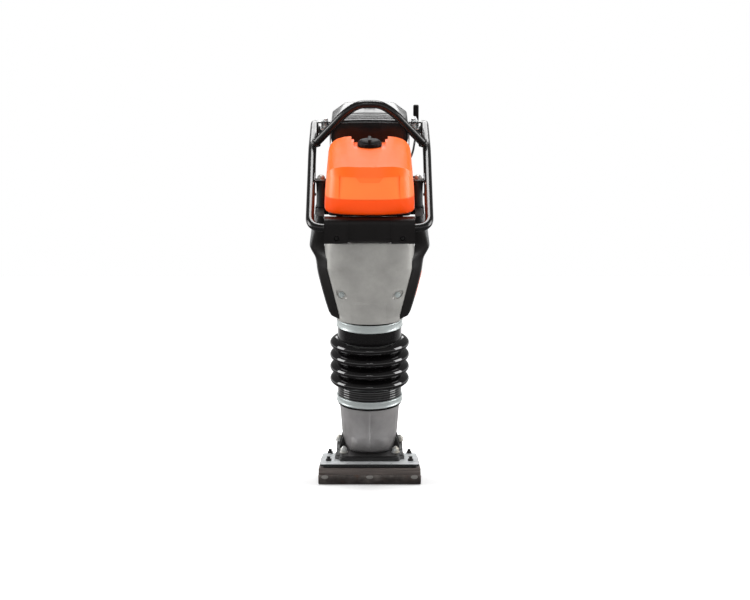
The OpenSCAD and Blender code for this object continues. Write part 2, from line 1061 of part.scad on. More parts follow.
module shoe_bolts() {
    color([0.6, 0.58, 0.56]) {
        for (x = [-122, 0, 122], s = [-1, 1])
            translate([x, s * shoe_l / 2, 22])
                rotate([-90 * s, 0, 0])
                    cylinder(r = 8, h = 1.5);
        both_sides()
            for (y = [-95, 130])
                translate([113, y, shoe_top]) {
                    cylinder(r = 13, h = 2);
                    translate([0, 0, 2])
                        cylinder(r = 9, h = 7, $fn = 6);
                    translate([0, 0, 9])
                        cylinder(r = 5, h = 6);
                }
    }
}

// ---------------------------------------------------------------- handle

front_v = -120;
front_w = 752;
foot_v = 198;
foot_w = 904;
peak_v = 463;
peak_w = 930;
back_v = 552;
back_w = 888;

loop_corners = [
    [arm_x, front_v, front_w], [arm_x, foot_v, foot_w], [arm_x, peak_v, peak_w], [arm_x, back_v, back_w],
    [-arm_x, back_v, back_w], [-arm_x, peak_v, peak_w], [-arm_x, foot_v, foot_w], [-arm_x, front_v, front_w],
];

function arm_w(v) = along([[front_v, front_w], [foot_v, foot_w], [peak_v, peak_w]], v);

module handle_frame() {
    color([0.03, 0.03, 0.03])
        leant() {
            sweep(ring_route(loop_corners, 42, 6), tube_r, 16, [0, 0, 1], true);
            both_sides() {
                // Ears over the front isolators
                difference() {
                    block(117, arm_x - 2, column_v - 16, column_v + 16, column_top, column_top + 6);
                    rod_w(column_x, column_v, 5 + fit, column_top - 1, column_top + 7);
                }
                // Angle brackets over the rear isolators
                block(146, 151, rear_mount_v - 20, rear_mount_v + 20, arm_w(rear_mount_v), rear_top + 4);
                block(112, 146.5, rear_mount_v - 17, rear_mount_v + 17, rear_top, rear_top + 4);
            }
        }
}

bail_corners = [
    [153, 200, 916], [66, 167, 1012], [30, 163, 1036],
    [-30, 163, 1036], [-66, 167, 1012], [-153, 200, 916],
];

module lifting_bail() {
    color([0.03, 0.03, 0.03])
        leant()
            difference() {
                sweep(open_route(bail_corners, 30, 4), tube_r, 14, [0, 1, 0]);
                sweep(ring_route(loop_corners, 42, 6), tube_r + 0.02, 16, [0, 0, 1], true);
            }
}

module front_bumper() {
    color([0.05, 0.05, 0.05])
        leant() difference() {
            union() {
                both_sides()
                    slab_x(58, 121)
                        soft_rect(-150, -96, 713, 781, 18);
                slab_x(-58, 58)
                    soft_rect(-146, -97, 722, 776, 18);
            }
            rod_x(front_v, front_w, tube_r + 0.3, -122, 122);
            both_sides()
                rod_v(88, 730, 6, -151, -144);
        }
}

module grip_sleeve() {
    color([0.05, 0.05, 0.05])
        leant() difference() {
            rod_x(back_v, back_w, 16, -100, 100);
            rod_x(back_v, back_w, tube_r + 0.1, -101, 101);
        }
}

module handle_screws() {
    color([0.7, 0.71, 0.7])
        leant()
            both_sides() {
                rod_v(88, 730, 5, -146, -144);
                // Domed caps and bolts of the front isolators
                translate([column_x, column_v, column_top + 6]) {
                    cylinder(r = 12, h = 3);
                    intersection() {
                        translate([0, 0, 3])
                            sphere(r = 10, $fn = 32);
                        translate([-12, -12, 3])
                            cube([24, 24, 12]);
                    }
                }
                rod_w(column_x, column_v, 5, 760, column_top + 6);
                translate([rear_x, rear_mount_v, rear_top + 4])
                    hex_bolt(5, 0.01);
            }
}

module throttle_cable() {
    color([0.05, 0.05, 0.05])
        leant()
            sweep(
                open_route([[136, 398, 916], [130, 350, 898], [124, 290, 880], [118, 245, 874], [112, 216, 870]], 24, 4),
                3, 8, [0, 0, 1]
            );
}

module throttle_lever() {
    color([0.05, 0.05, 0.05])
        leant() {
            rod_x(lever_v, 924, 13, 134, 142);
            block(135, 142, lever_v - 5, lever_v + 5, 924, 962);
            slab_v(lever_v - 5, lever_v + 5)
                soft_rect(126, 142, 958, 991, 3);
        }
}

module starter_grip() {
    color([0.04, 0.04, 0.04])
        leant() {
            slab_x(28, 76)
                soft_rect(346, 362, pinion_w + 36, pinion_w + 52, 6);
            rod_v(52, pinion_w + 44, 6, 340.5, 347);
            rod_v(52, pinion_w + 44, 2.5, 316, 341);
        }
}

module choke_lever() {
    color([0.04, 0.04, 0.04])
        leant() {
            rod_x(196, 866, 9, 112.5, 117);
            block(112.5, 117, 192, 200, 840, 866);
        }
}

module housing_bolts() {
    color([0.72, 0.75, 0.72])
        leant() {
            both_sides()
                translate([76, -90.8, 558])
                    rotate([90, 0, 0])
                        hex_bolt(3.8, 26);
            both_sides()
                for (w = [628, 736])
                    translate([62, block_front, w])
                        rotate([90, 0, 0])
                            cylinder(r = 4, h = 4);
            translate([0, 330, 1002])
                hex_bolt(5, 0.01);
        }
}

// ---------------------------------------------------------------- what is drawn

crankcase();
clutch_housing();
front_guard();
housing_bolts();
side_cover_left();
side_cover_right();
guide_cylinder();
guide_bushes();
upper_clamp();
bellows();
fuel_tank();
hood();
filter_base();
filter_element();
engine_block();
cylinder_part();  // cylinder
cylinder_head();
fan_shroud();
recoil_housing();
muffler();
muffler_guard();
carburettor();
fuel_hose();
spark_plug();
mount_beam();
rear_brackets();
front_buffers();
rear_buffers();
bearings();
crankshaft();
flywheel();
clutch_hub();
clutch_shoes();
pinion_shaft();
clutch_drum();
crank_gear();
connecting_rod();
wrist_pin();
piston_rod();
ram_piston();
spring_cylinder();
ram_springs();
leg_casting();
lower_clamp();
foot_bracket();
foot_bolts();
shoe_plate();
shoe_core();
shoe_sole();
shoe_bolts();
handle_frame();
lifting_bail();
front_bumper();
grip_sleeve();
handle_screws();
throttle_cable();
throttle_lever();
fuel_cap();
starter_grip();
choke_lever();
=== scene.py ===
"""The looks of an upright jumping jack rammer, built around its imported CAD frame."""
import json
import math

import bmesh
import bpy
from mathutils import Matrix, Vector


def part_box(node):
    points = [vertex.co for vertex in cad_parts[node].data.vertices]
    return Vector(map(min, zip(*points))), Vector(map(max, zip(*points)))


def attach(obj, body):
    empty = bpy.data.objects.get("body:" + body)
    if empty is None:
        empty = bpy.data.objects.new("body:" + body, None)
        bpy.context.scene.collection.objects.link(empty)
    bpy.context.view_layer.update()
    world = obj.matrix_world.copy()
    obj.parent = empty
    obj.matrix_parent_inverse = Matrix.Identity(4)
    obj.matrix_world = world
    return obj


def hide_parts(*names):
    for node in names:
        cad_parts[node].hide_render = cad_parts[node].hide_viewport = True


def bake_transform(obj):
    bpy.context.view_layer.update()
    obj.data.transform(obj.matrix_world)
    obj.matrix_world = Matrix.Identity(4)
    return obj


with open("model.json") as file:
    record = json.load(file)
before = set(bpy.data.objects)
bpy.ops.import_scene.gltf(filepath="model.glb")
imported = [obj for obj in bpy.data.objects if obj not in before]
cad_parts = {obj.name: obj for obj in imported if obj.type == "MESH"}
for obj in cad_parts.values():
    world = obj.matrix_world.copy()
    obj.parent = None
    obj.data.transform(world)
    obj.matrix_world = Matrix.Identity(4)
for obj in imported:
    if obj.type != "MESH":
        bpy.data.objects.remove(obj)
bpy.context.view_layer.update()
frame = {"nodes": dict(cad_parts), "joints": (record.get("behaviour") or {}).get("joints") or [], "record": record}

MM = 0.001
JOINTS = {j["name"]: j for j in frame["joints"]}
LEG_AXIS = Vector(JOINTS["leg_slide"]["axis"])
LEAN = math.atan2(-LEG_AXIS.y, LEG_AXIS.z)
# Where the leg's axis meets the ground, from the crank's place on that axis
CRANK = Vector(JOINTS["crank_spin"]["pos_m"])
CRANK_W = 613.0
CRANK_V = 27.0
FOOT_Y = CRANK.y / MM - CRANK_V * math.cos(LEAN) + CRANK_W * math.sin(LEAN)
# From millimetres along the leant machine (x, v rearwards, w up the leg) to the row frame in metres
LEANT = (
    Matrix.Translation((0, FOOT_Y * MM, 0))
    @ Matrix.Rotation(LEAN, 4, "X")
    @ Matrix.Scale(MM, 4)
)
UNLEANT = LEANT.inverted()
UPRIGHT = Matrix.Scale(MM, 4)


# ---------------------------------------------------------------- small maths


def table(pairs, at):
    """Straight-line value at a place in a short table of (place, value) pairs."""
    if at <= pairs[0][0]:
        return pairs[0][1]
    for (a, va), (b, vb) in zip(pairs, pairs[1:]):
        if at <= b:
            return va + (vb - va) * (at - a) / (b - a)
    return pairs[-1][1]


def smooth(edge0, edge1, x):
    t = min(1.0, max(0.0, (x - edge0) / (edge1 - edge0)))
    return t * t * (3 - 2 * t)


def signed_power(value, power):
    return math.copysign(abs(value) ** power, value)


def corner(a, b, c, radius, count):
    s = min(radius, 0.49 * (a - b).length, 0.49 * (c - b).length)
    p = b + (a - b).normalized() * s
    q = b + (c - b).normalized() * s
    ts = [i / count for i in range(count + 1)]
    return [p * (1 - t) ** 2 + b * (2 * t * (1 - t)) + q * t * t for t in ts]


def route(points, radius, count=8, closed=False):
    """The same rounded route as the CAD tube of the same points, more finely divided."""
    pts = [Vector(p) for p in points]
    n = len(pts)
    if closed:
        return [p for i in range(n) for p in corner(pts[i - 1], pts[i], pts[(i + 1) % n], radius, count)]
    out = [pts[0]]
    for i in range(1, n - 1):
        out += corner(pts[i - 1], pts[i], pts[i + 1], radius, count)
    return out + [pts[-1]]


# ---------------------------------------------------------------- mesh making


def skin(rings, count, closed):
    faces = []
    for i in range(rings if closed else rings - 1):
        for j in range(count):
            a = i * count + j
            b = i * count + (j + 1) % count
            c = ((i + 1) % rings) * count + (j + 1) % count
            d = ((i + 1) % rings) * count + j
            faces.append((a, b, c, d))
    return faces


def add_mesh(name, verts, faces, place=LEANT):
    mesh = bpy.data.meshes.new(name)
    mesh.from_pydata([tuple(v) for v in verts], [], faces)
    mesh.transform(place)
    bm = bmesh.new()
    bm.from_mesh(mesh)
    bmesh.ops.recalc_face_normals(bm, faces=bm.faces)
    bm.to_mesh(mesh)
    bm.free()
    mesh.validate()
    piece = bpy.data.objects.new(name, mesh)
    bpy.context.scene.collection.objects.link(piece)
    return piece


def loft(name, rings, caps=True, closed=False, place=LEANT):
    count = len(rings[0])
    faces = skin(len(rings), count, closed)
    if caps and not closed:
        faces.append(tuple(range(count)))
        faces.append(tuple(range((len(rings) - 1) * count, len(rings) * count)))
    return add_mesh(name, [v for r in rings for v in r], faces, place)


def tube(name, path, radius, sides=24, closed=False, up=(0, 0, 1), place=LEANT):
    up = Vector(up)
    rings = []
    n = len(path)
    for i in range(n):
        before = path[i - 1] if closed else path[max(i - 1, 0)]
        after = path[(i + 1) % n] if closed else path[min(i + 1, n - 1)]
        t = (after - before).normalized()
        s = t.cross(up).normalized()
        u = s.cross(t)
        r = radius(i / (n - 1)) if callable(radius) else radius
        angles = [2 * math.pi * j / sides for j in range(sides)]
        rings.append([path[i] + r * (math.cos(a) * s + math.sin(a) * u) for a in angles])
    return loft(name, rings, closed=closed, place=place)


def turned(name, profile, steps=96, place=LEANT, axis="w", centre=(0, 0, 0), closed=False):
    """A turned piece: profile is (radius, distance along the axis) pairs."""
    centre = Vector(centre)
    rings = []
    for radius, along in profile:
        ring = []
        for j in range(steps):
            a = 2 * math.pi * j / steps
            c, s = radius * math.cos(a), radius * math.sin(a)
            at = {"w": (c, s, along), "v": (c, along, s), "x": (along, c, s)}[axis]
            ring.append(centre + Vector(at))
        rings.append(ring)
    return loft(name, rings, caps=not closed, closed=closed, place=place)


def prism(name, outline, low, high, axis="v", place=LEANT):
    """A flat outline drawn out along one axis."""
    rings = []
    for d in (low, high):
        rings.append([{"v": (a, d, b), "x": (d, a, b), "w": (a, b, d)}[axis] for a, b in outline])
    return loft(name, rings, place=place)


def arc(x, y, r, start, end, count):
    """Points along an arc between two angles in degrees, both ends included."""
    angles = [math.radians(start + (end - start) * i / count) for i in range(count + 1)]
    return [(x + r * math.cos(a), y + r * math.sin(a)) for a in angles]


def circle(x, y, r, count=32):
    return arc(x, y, r, 0, 360, count)[:-1]


def soft_rect(x0, x1, y0, y1, r, count=5):
    out = []
    for i, (x, y) in enumerate(((x1 - r, y1 - r), (x0 + r, y1 - r), (x0 + r, y0 + r), (x1 - r, y0 + r))):
        out += arc(x, y, r, 90 * i, 90 * i + 90, count)
    return out


def on_side(side, outline):
    """An outline drawn for the right side of the machine, put on the given side."""
    return [(side * a, b) for a, b in outline]


def soften(piece, width=1.0, segments=2, angle=35):
    """Small rounded edges, as on any real casting, moulding or pressing."""
    bevel = piece.modifiers.new("edges", "BEVEL")
    bevel.width = width * MM
    bevel.segments = segments
    bevel.limit_method = "ANGLE"
    bevel.angle_limit = math.radians(angle)
    bevel.harden_normals = False
    bevel.miter_outer = "MITER_ARC"
    return piece


def shade(piece, angle=35):
    """Smooth shading with sharp edges above the angle."""
    mesh = piece.data
    mesh.polygons.foreach_set("use_smooth", [True] * len(mesh.polygons))
    mesh.set_sharp_from_angle(angle=math.radians(angle))
    return piece


def cut(piece, *cutters):
    """Takes the cutters' shapes out of the piece for good."""
    for cutter in cutters:
        mod = piece.modifiers.new("cut", "BOOLEAN")
        mod.operation = "DIFFERENCE"
        mod.solver = "EXACT"
        mod.object = cutter
    bpy.context.view_layer.update()
    graph = bpy.context.evaluated_depsgraph_get()
    mesh = bpy.data.meshes.new_from_object(piece.evaluated_get(graph))
    old = piece.data
    piece.modifiers.clear()
    piece.data = mesh
    bpy.data.meshes.remove(old)
    for cutter in cutters:
        bpy.data.objects.remove(cutter)
    return piece


def join(name, *pieces):
    """One mesh of several, each with its material kept."""
    bm = bmesh.new()
    mesh = bpy.data.meshes.new(name)
    graph = bpy.context.evaluated_depsgraph_get()
    materials = []
    for piece in pieces:
        bpy.context.view_layer.update()
        part = bpy.data.meshes.new_from_object(piece.evaluated_get(graph))
        part.transform(piece.matrix_world)
        slots = []
        for m in piece.data.materials:
            if m not in materials:
                materials.append(m)
            slots.append(materials.index(m))
        for poly in part.polygons:
            poly.material_index = slots[poly.material_index] if slots else 0
        bm.from_mesh(part)
        bpy.data.meshes.remove(part)
        bpy.data.objects.remove(piece)
    bm.to_mesh(mesh)
    bm.free()
    for m in materials:
        mesh.materials.append(m)
    whole = bpy.data.objects.new(name, mesh)
    bpy.context.scene.collection.objects.link(whole)
    return whole


def finish(piece, material, body, replaces=()):
    """Gives a piece its material, its body and the CAD nodes it stands for."""
    if material is not None:
        piece.data.materials.clear()
        piece.data.materials.append(material)
    if replaces:
        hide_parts(*replaces)
    if body:
        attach(piece, body)
    return piece


# ---------------------------------------------------------------- materials


class Nodes:
    """A short way to wire one material's nodes."""

    def __init__(self, name):
        self.material = bpy.data.materials.new(name)
        self.material.use_nodes = True
        self.tree = self.material.node_tree
        self.shader = self.tree.nodes["Principled BSDF"]
        self.coords = self.add("ShaderNodeTexCoord").outputs["Object"]

    def add(self, kind, **values):
        node = self.tree.nodes.new(kind)
        for key, value in values.items():
            if hasattr(node, key):
                setattr(node, key, value)
            else:
                node.inputs[key.replace("_", " ")].default_value = value
        return node

    def link(self, a, b):
        self.tree.links.new(a, b)

    def stretched(self, scale):
        mapping = self.add("ShaderNodeMapping")
        mapping.inputs["Scale"].default_value = scale
        self.link(self.coords, mapping.inputs["Vector"])
        return mapping.outputs["Vector"]

    def noise(self, scale, detail=4.0, rough=0.55, vector=None):
        node = self.add("ShaderNodeTexNoise", Scale=scale, Detail=detail, Roughness=rough)
        self.link(vector or self.coords, node.inputs["Vector"])
        return node.outputs["Fac"]

    def ramp(self, value, stops):
        node = self.add("ShaderNodeValToRGB")
        while len(node.color_ramp.elements) < len(stops):
            node.color_ramp.elements.new(0.5)
        for element, (at, colour) in zip(node.color_ramp.elements, stops):
            element.position = at
            element.color = (*colour, 1) if len(colour) == 3 else colour
        self.link(value, node.inputs["Fac"])
        return node.outputs["Color"]

    def mix(self, value, a, b, blend="MIX"):
        node = self.add("ShaderNodeMix", data_type="RGBA", blend_type=blend)
        for socket, source in ((node.inputs[0], value), (node.inputs[6], a), (node.inputs[7], b)):
            if isinstance(source, bpy.types.NodeSocket):
                self.link(source, socket)
            elif isinstance(source, (int, float)):
                socket.default_value = source
            else:
                socket.default_value = (*source, 1)
        return node.outputs[2]

    def scaled(self, value, low, high):
        node = self.add("ShaderNodeMapRange")
        node.inputs["To Min"].default_value = low
        node.inputs["To Max"].default_value = high
        self.link(value, node.inputs["Value"])
        return node.outputs["Result"]

    def edges(self, low=0.48, high=0.56):
        """Where the surface is convex, such as along worn edges."""
        geometry = self.add("ShaderNodeNewGeometry")
        node = self.add("ShaderNodeMapRange")
        node.inputs["From Min"].default_value = low
        node.inputs["From Max"].default_value = high
        self.link(geometry.outputs["Pointiness"], node.inputs["Value"])
        return node.outputs["Result"]

    def bump(self, height, strength, distance=0.0005, under=None):
        node = self.add("ShaderNodeBump", Strength=strength, Distance=distance)
        self.link(height, node.inputs["Height"])
        if under is not None:
            self.link(under, node.inputs["Normal"])
        self.link(node.outputs["Normal"], self.shader.inputs["Normal"])
        return node.outputs["Normal"]

    def set(self, **values):
        for key, value in values.items():
            socket = self.shader.inputs[key.replace("_", " ")]
            if isinstance(value, bpy.types.NodeSocket):
                self.link(value, socket)
            else:
                socket.default_value = (*value, 1) if isinstance(value, tuple) else value
        return self.material


def plastic(name, colour, rough, grain=1600.0, grain_strength=0.1, spread=0.15, coat=0.0, gloss=0.3):
    n = Nodes(name)
    tone = n.noise(9.0, 3.0)
    dark = tuple(c * (1 - spread) for c in colour)
    light = tuple(min(1.0, c * (1 + spread) + 0.002) for c in colour)
    n.bump(n.noise(grain, 2.0), grain_strength, 0.0003, n.bump(n.noise(55.0, 2.0), 0.05, 0.0006))
    haze = n.noise(30.0, 5.0)
    return n.set(
        Base_Color=n.mix(tone, dark, light),
        Roughness=n.scaled(haze, rough * 0.8, rough * 1.25),
        Coat_Weight=coat,
        Coat_Roughness=0.08,
        Specular_IOR_Level=gloss,
    )


def gloss_paint(name, colour, rough=0.2):
    """Powder coat: fine orange peel and faint dust."""
    n = Nodes(name)
    tone = n.mix(n.noise(14.0, 3.0), tuple(c * 0.8 for c in colour), tuple(c * 1.3 + 0.003 for c in colour))
    n.bump(n.noise(150.0, 2.0), 0.02, 0.0003)
    return n.set(
        Base_Color=tone,
        Roughness=n.scaled(n.noise(38.0, 6.0), rough * 0.85, rough * 1.35),
        Specular_IOR_Level=0.5,
    )


def cast_metal(name, colour, rough=0.45, pitting=0.25, metallic=0.85, streak=0.0):
    n = Nodes(name)
    cloud = n.noise(16.0, 6.0, 0.6)
    dark, light = tuple(c * 0.82 for c in colour), tuple(min(1, c * 1.12) for c in colour)
    tone = n.ramp(cloud, [(0.3, dark), (0.7, light)])
    if streak:
        lines = n.noise(1.0, 3.0, vector=n.stretched((900, 900, 14)))
        tone = n.mix(streak, tone, n.ramp(lines, [(0.3, tuple(c * 0.7 for c in colour)), (0.7, colour)]))
    fine = n.bump(n.noise(700.0, 3.0, 0.7), pitting, 0.0005)
    n.bump(n.noise(60.0, 3.0), pitting * 0.35, 0.001, fine)
    return n.set(
        Base_Color=tone,
        Metallic=metallic,
        Roughness=n.scaled(n.noise(80.0, 5.0), rough * 0.8, rough * 1.3),
    )


def plated(name, colour, rough=0.28):
    """Zinc plate: small crystals, faint yellow and blue tints."""
    n = Nodes(name)
    cells = n.add("ShaderNodeTexVoronoi", Scale=230.0)
    n.link(n.coords, cells.inputs["Vector"])
    blue, yellow = (0.66, 0.68, 0.70), (0.78, 0.76, 0.68)
    tint = n.ramp(n.noise(22.0, 4.0), [(0.35, blue), (0.6, colour), (0.75, yellow)])
    n.bump(cells.outputs["Distance"], 0.05, 0.0003)
    return n.set(
        Base_Color=tint,
        Metallic=0.6,
        Roughness=n.scaled(n.noise(120.0, 5.0), rough * 0.7, rough * 1.5),
    )


def rubber(name, colour, rough, grain=900.0, dusty=0.0, gloss=0.3):
    n = Nodes(name)
    dust = n.ramp(n.noise(26.0, 6.0, 0.65), [(0.45, colour), (0.8, tuple(c + dusty for c in colour))])
    n.bump(n.noise(grain, 3.0), 0.08, 0.0003)
    return n.set(
        Base_Color=dust,
        Roughness=n.scaled(n.noise(45.0, 5.0), rough * 0.75, rough * 1.3),
        Specular_IOR_Level=gloss,
    )


def layered_wood(name):
    """Resin-bonded beech layers, seen on the edges of the shoe."""
    n = Nodes(name)
    layers = n.add("ShaderNodeTexWave", wave_type="BANDS", bands_direction="Z", Scale=34.0, Distortion=0.6)
    layers.inputs["Detail"].default_value = 3.0
    layers.inputs["Detail Scale"].default_value = 3.0
    n.link(n.coords, layers.inputs["Vector"])
    grain = n.noise(1.0, 8.0, 0.6, n.stretched((9, 160, 420)))
    knots = n.noise(1.0, 4.0, 0.5, n.stretched((16, 40, 60)))
    late, early, worn = (0.045, 0.034, 0.030), (0.10, 0.079, 0.070), (0.19, 0.158, 0.142)
    base = n.ramp(grain, [(0.25, late), (0.5, early), (0.75, worn)])
    dark = n.mix(n.scaled(layers.outputs["Color"], 0.0, 0.45), base, (0.06, 0.045, 0.04))
    knotted = n.mix(n.ramp(knots, [(0.62, (0, 0, 0)), (0.72, (1, 1, 1))]), dark, (0.05, 0.03, 0.025))
    n.bump(grain, 0.35, 0.0006)
    return n.set(Base_Color=knotted, Roughness=n.scaled(grain, 0.42, 0.62), Coat_Weight=0.15)


def worn_steel(name):
    n = Nodes(name)
    scale = n.noise(20.0, 8.0, 0.65)
    rust = n.noise(48.0, 8.0, 0.7)
    mill, dull, bright = (0.06, 0.052, 0.049), (0.13, 0.114, 0.107), (0.24, 0.215, 0.2)
    tone = n.ramp(scale, [(0.3, mill), (0.55, dull), (0.75, bright)])
    tone = n.mix(n.scaled(n.edges(0.53, 0.62), 0.0, 0.5), tone, (0.40, 0.37, 0.345))
    rusty = n.mix(n.ramp(rust, [(0.55, (0, 0, 0)), (0.75, (0.45, 0.45, 0.45))]), tone, (0.20, 0.09, 0.045))
    scratches = n.noise(1.0, 3.0, 0.7, n.stretched((30, 900, 900)))
    n.bump(scratches, 0.15, 0.0004)
    return n.set(Base_Color=rusty, Metallic=0.8, Roughness=n.scaled(rust, 0.32, 0.6))


def orange_plastic(name, deep=(0.88, 0.115, 0.007), light=(0.95, 0.138, 0.010)):
    n = Nodes(name)
    tone = n.mix(n.noise(6.0, 3.0), deep, light)
    # Painted shade: the tucked-under band along the lower edge is darkened in colour, as if in shade, and made
    # less glossy
    place = n.add("ShaderNodeVectorMath", operation="DOT_PRODUCT")
    place.inputs[1].default_value = LEG_AXIS
    n.link(n.coords, place.inputs[0])
    foot = -FOOT_Y * MM * math.sin(LEAN)
    low = n.add("ShaderNodeMapRange", interpolation_type="SMOOTHSTEP")
    band = {"From Min": 0.829 + foot, "From Max": 0.834 + foot, "To Min": 0.8, "To Max": 0.0}
    for key, value in band.items():
        low.inputs[key].default_value = value
    n.link(place.outputs["Value"], low.inputs["Value"])
    # the painted shade of the lower band is mixed in here
    tone = n.mix(low.outputs["Result"], tone, (0.66, 0.040, 0.0))
    scuffs = n.noise(1.0, 6.0, 0.7, n.stretched((45, 45, 420)))
    n.bump(n.noise(1300.0, 2.0), 0.05, 0.0003, n.bump(n.noise(28.0, 2.0), 0.05, 0.001))
    scuffed = n.ramp(scuffs, [(0.66, (0, 0, 0)), (0.8, (0.15, 0.15, 0.15))])
    return n.set(
        Base_Color=n.mix(scuffed, tone, (0.95, 0.2, 0.04)),
        Roughness=n.scaled(n.noise(40.0, 5.0), 0.30, 0.46),
        Specular_IOR_Level=n.scaled(low.outputs["Result"], 0.32, 0.02),
        Coat_Weight=0.08,
        Coat_Roughness=0.2,
    )


def pleated_paper(name):
    n = Nodes(name)
    folds = n.add("ShaderNodeTexWave", wave_type="BANDS", bands_direction="X", Scale=60.0)
    n.link(n.coords, folds.inputs["Vector"])
    n.bump(folds.outputs["Color"], 0.8, 0.002)
    return n.set(Base_Color=n.mix(n.noise(30.0), (0.62, 0.52, 0.3), (0.8, 0.7, 0.46)), Roughness=0.85)


def hot_steel(name):
    """Exhaust steel with straw and blue heat tints."""
    n = Nodes(name)
    scale, straw, blue, bare = (0.10, 0.095, 0.10), (0.2, 0.17, 0.13), (0.13, 0.12, 0.16), (0.25, 0.22, 0.2)
    tone = n.ramp(n.noise(12.0, 5.0), [(0.3, scale), (0.5, straw), (0.62, blue), (0.8, bare)])
    n.bump(n.noise(500.0, 3.0), 0.2, 0.0004)
    return n.set(Base_Color=tone, Metallic=0.8, Roughness=n.scaled(n.noise(60.0, 5.0), 0.35, 0.6))


# The frame brings materials of these names, so Blender adds a number to the new ones
MAT = {material.name.split(".")[0]: material for material in (
    cast_metal("cast_aluminium", (0.50, 0.49, 0.48), 0.42, 0.3, 0.8),
    cast_metal("guard_grey", (0.292, 0.286, 0.270), 0.42, 0.14, 0.35),
    plated("zinc", (0.74, 0.75, 0.74)),
    plastic("black_plastic", (0.0052, 0.0043, 0.0042), 0.42, grain_strength=0.25, gloss=0.2),
    plastic("cover_grey", (0.052, 0.053, 0.055), 0.38, grain_strength=0.2),
    cast_metal("steel", (0.56, 0.56, 0.57), 0.3, 0.05, 1.0, 0.5),
    cast_metal("bronze", (0.70, 0.50, 0.24), 0.3, 0.05, 1.0, 0.5),
    cast_metal("clamp_steel", (0.49, 0.53, 0.525), 0.36, 0.05, 0.6, 0.35),
    rubber("bellows_rubber", (0.0026, 0.0022, 0.0024), 0.09, 500.0, gloss=0.75),
    orange_plastic("tank_orange"),
    plastic("hood_black", (0.0045, 0.0042, 0.0045), 0.22, grain_strength=0.05, gloss=0.4),
    pleated_paper("filter_paper"),
    gloss_paint("black_paint", (0.0035, 0.0032, 0.0032)),
    hot_steel("exhaust_steel"),
    rubber("buffer_rubber", (0.014, 0.014, 0.014), 0.5, 1400.0, 0.01),
    plated("buffer_light", (0.62, 0.64, 0.63), 0.35),
    cast_metal("dark_iron", (0.0045, 0.0042, 0.0042), 0.4, 0.5, 0.1),
    layered_wood("laminated_wood"),
    worn_steel("sole_steel"),
    rubber("friction_lining", (0.10, 0.075, 0.055), 0.8, 300.0),
    # A lighter copy of the tank orange: painted light on the front panel, which is turned up a little towards the
    # lamps overhead
    orange_plastic("panel_orange", (0.90, 0.15, 0.018), (0.97, 0.18, 0.026)),
    cast_metal("dull_zinc", (0.30, 0.285, 0.27), 0.42, 0.2, 0.8),
    cast_metal("plate_zinc", (0.66, 0.68, 0.69), 0.4, 0.05, 0.45, 0.2),
    plated("brass_zinc", (0.50, 0.47, 0.40), 0.32),
    plastic("cap_black", (0.0035, 0.0032, 0.0034), 0.5, grain_strength=0.05, gloss=0.12),
    plastic("trim_orange", (0.8, 0.1, 0.02), 0.35),
)}


def clad(piece, finish_name, angle=40):
    """Shades a piece and gives it one finish."""
    shade(piece, angle)
    piece.data.materials.append(MAT[finish_name])
    return piece


def curve(pairs, at):
    """Smooth value at a place in a table of (place, value) pairs, without overshoot at a repeated value."""
    if at <= pairs[0][0]:
        return pairs[0][1]
    if at >= pairs[-1][0]:
        return pairs[-1][1]
    slopes = [(b[1] - a[1]) / (b[0] - a[0]) for a, b in zip(pairs, pairs[1:])]
    inner = [0.0 if s * t <= 0 else 2 * s * t / (s + t) for s, t in zip(slopes, slopes[1:])]
    tangents = [slopes[0]] + inner + [slopes[-1]]
    for i, (a, b) in enumerate(zip(pairs, pairs[1:])):
        if at <= b[0]:
            h = b[0] - a[0]
            t = (at - a[0]) / h
            return (
                (2 * t**3 - 3 * t**2 + 1) * a[1]
                + (t**3 - 2 * t**2 + t) * h * tangents[i]
                + (3 * t**2 - 2 * t**3) * b[1]
                + (t**3 - t**2) * h * tangents[i + 1]
            )


def hexagon(name, x, y, z, r, height, place=LEANT, axis="w"):
    """A bolt head or nut with its corners turned off."""
    centre = Vector((x, y, z))
    rings = []
    for level, grow in ((0, 1.0), (height * 0.8, 1.0), (height, 0.86)):
        ring = []
        for j in range(48):
            a = 2 * math.pi * j / 48
            flat = math.cos(math.pi / 6) / math.cos((a % (math.pi / 3)) - math.pi / 6)
            rr = r * min(flat, 0.98) * grow if grow == 1.0 else r * 0.86
            c, s = rr * math.cos(a), rr * math.sin(a)
            at = {"w": (c, s, level), "v": (c, -level, s), "x": (level, c, s)}[axis]
            ring.append(centre + Vector(at))
        rings.append(ring)
    return shade(loft(name, rings, place=place), 30)


def washer(name, x, y, z, r, t, place=LEANT, axis="w"):
    sign = -1 if axis == "v" else 1
    profile = [(r - 0.4, 0), (r, 0.3), (r, t - 0.4), (r - 0.5, t), (r * 0.4, t)]
    profile = [(radius, sign * level) for radius, level in profile]
    return shade(turned(name, profile, 48, place=place, axis=axis, centre=(x, y, z)), 30)


def mirrored(make):
    """The same piece made on both sides of the machine."""
    return [make(1), make(-1)]


def ring_bevel(profile, radius=1.0, count=3):
    """A closed or open profile with its corners rounded."""
    pts = [Vector((p[0], p[1], 0)) for p in profile]
    out = [pts[0]]
    for i in range(1, len(pts) - 1):
        out += corner(pts[i - 1], pts[i], pts[i + 1], radius, count)
    return [(p.x, p.y) for p in out + [pts[-1]]]


# ---------------------------------------------------------------- shoe

SOLE_LOW, SOLE_HIGH = [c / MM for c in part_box("shoe_sole")]
CORE_LOW, CORE_HIGH = [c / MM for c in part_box("shoe_core")]
PLATE_LOW, PLATE_HIGH = [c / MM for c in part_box("shoe_plate")]
SHOE_W = SOLE_HIGH.x
SHOE_L = SOLE_HIGH.y
SOLE_T = 6.0
LIP_H = SOLE_HIGH.z
TOE_R = 24.0


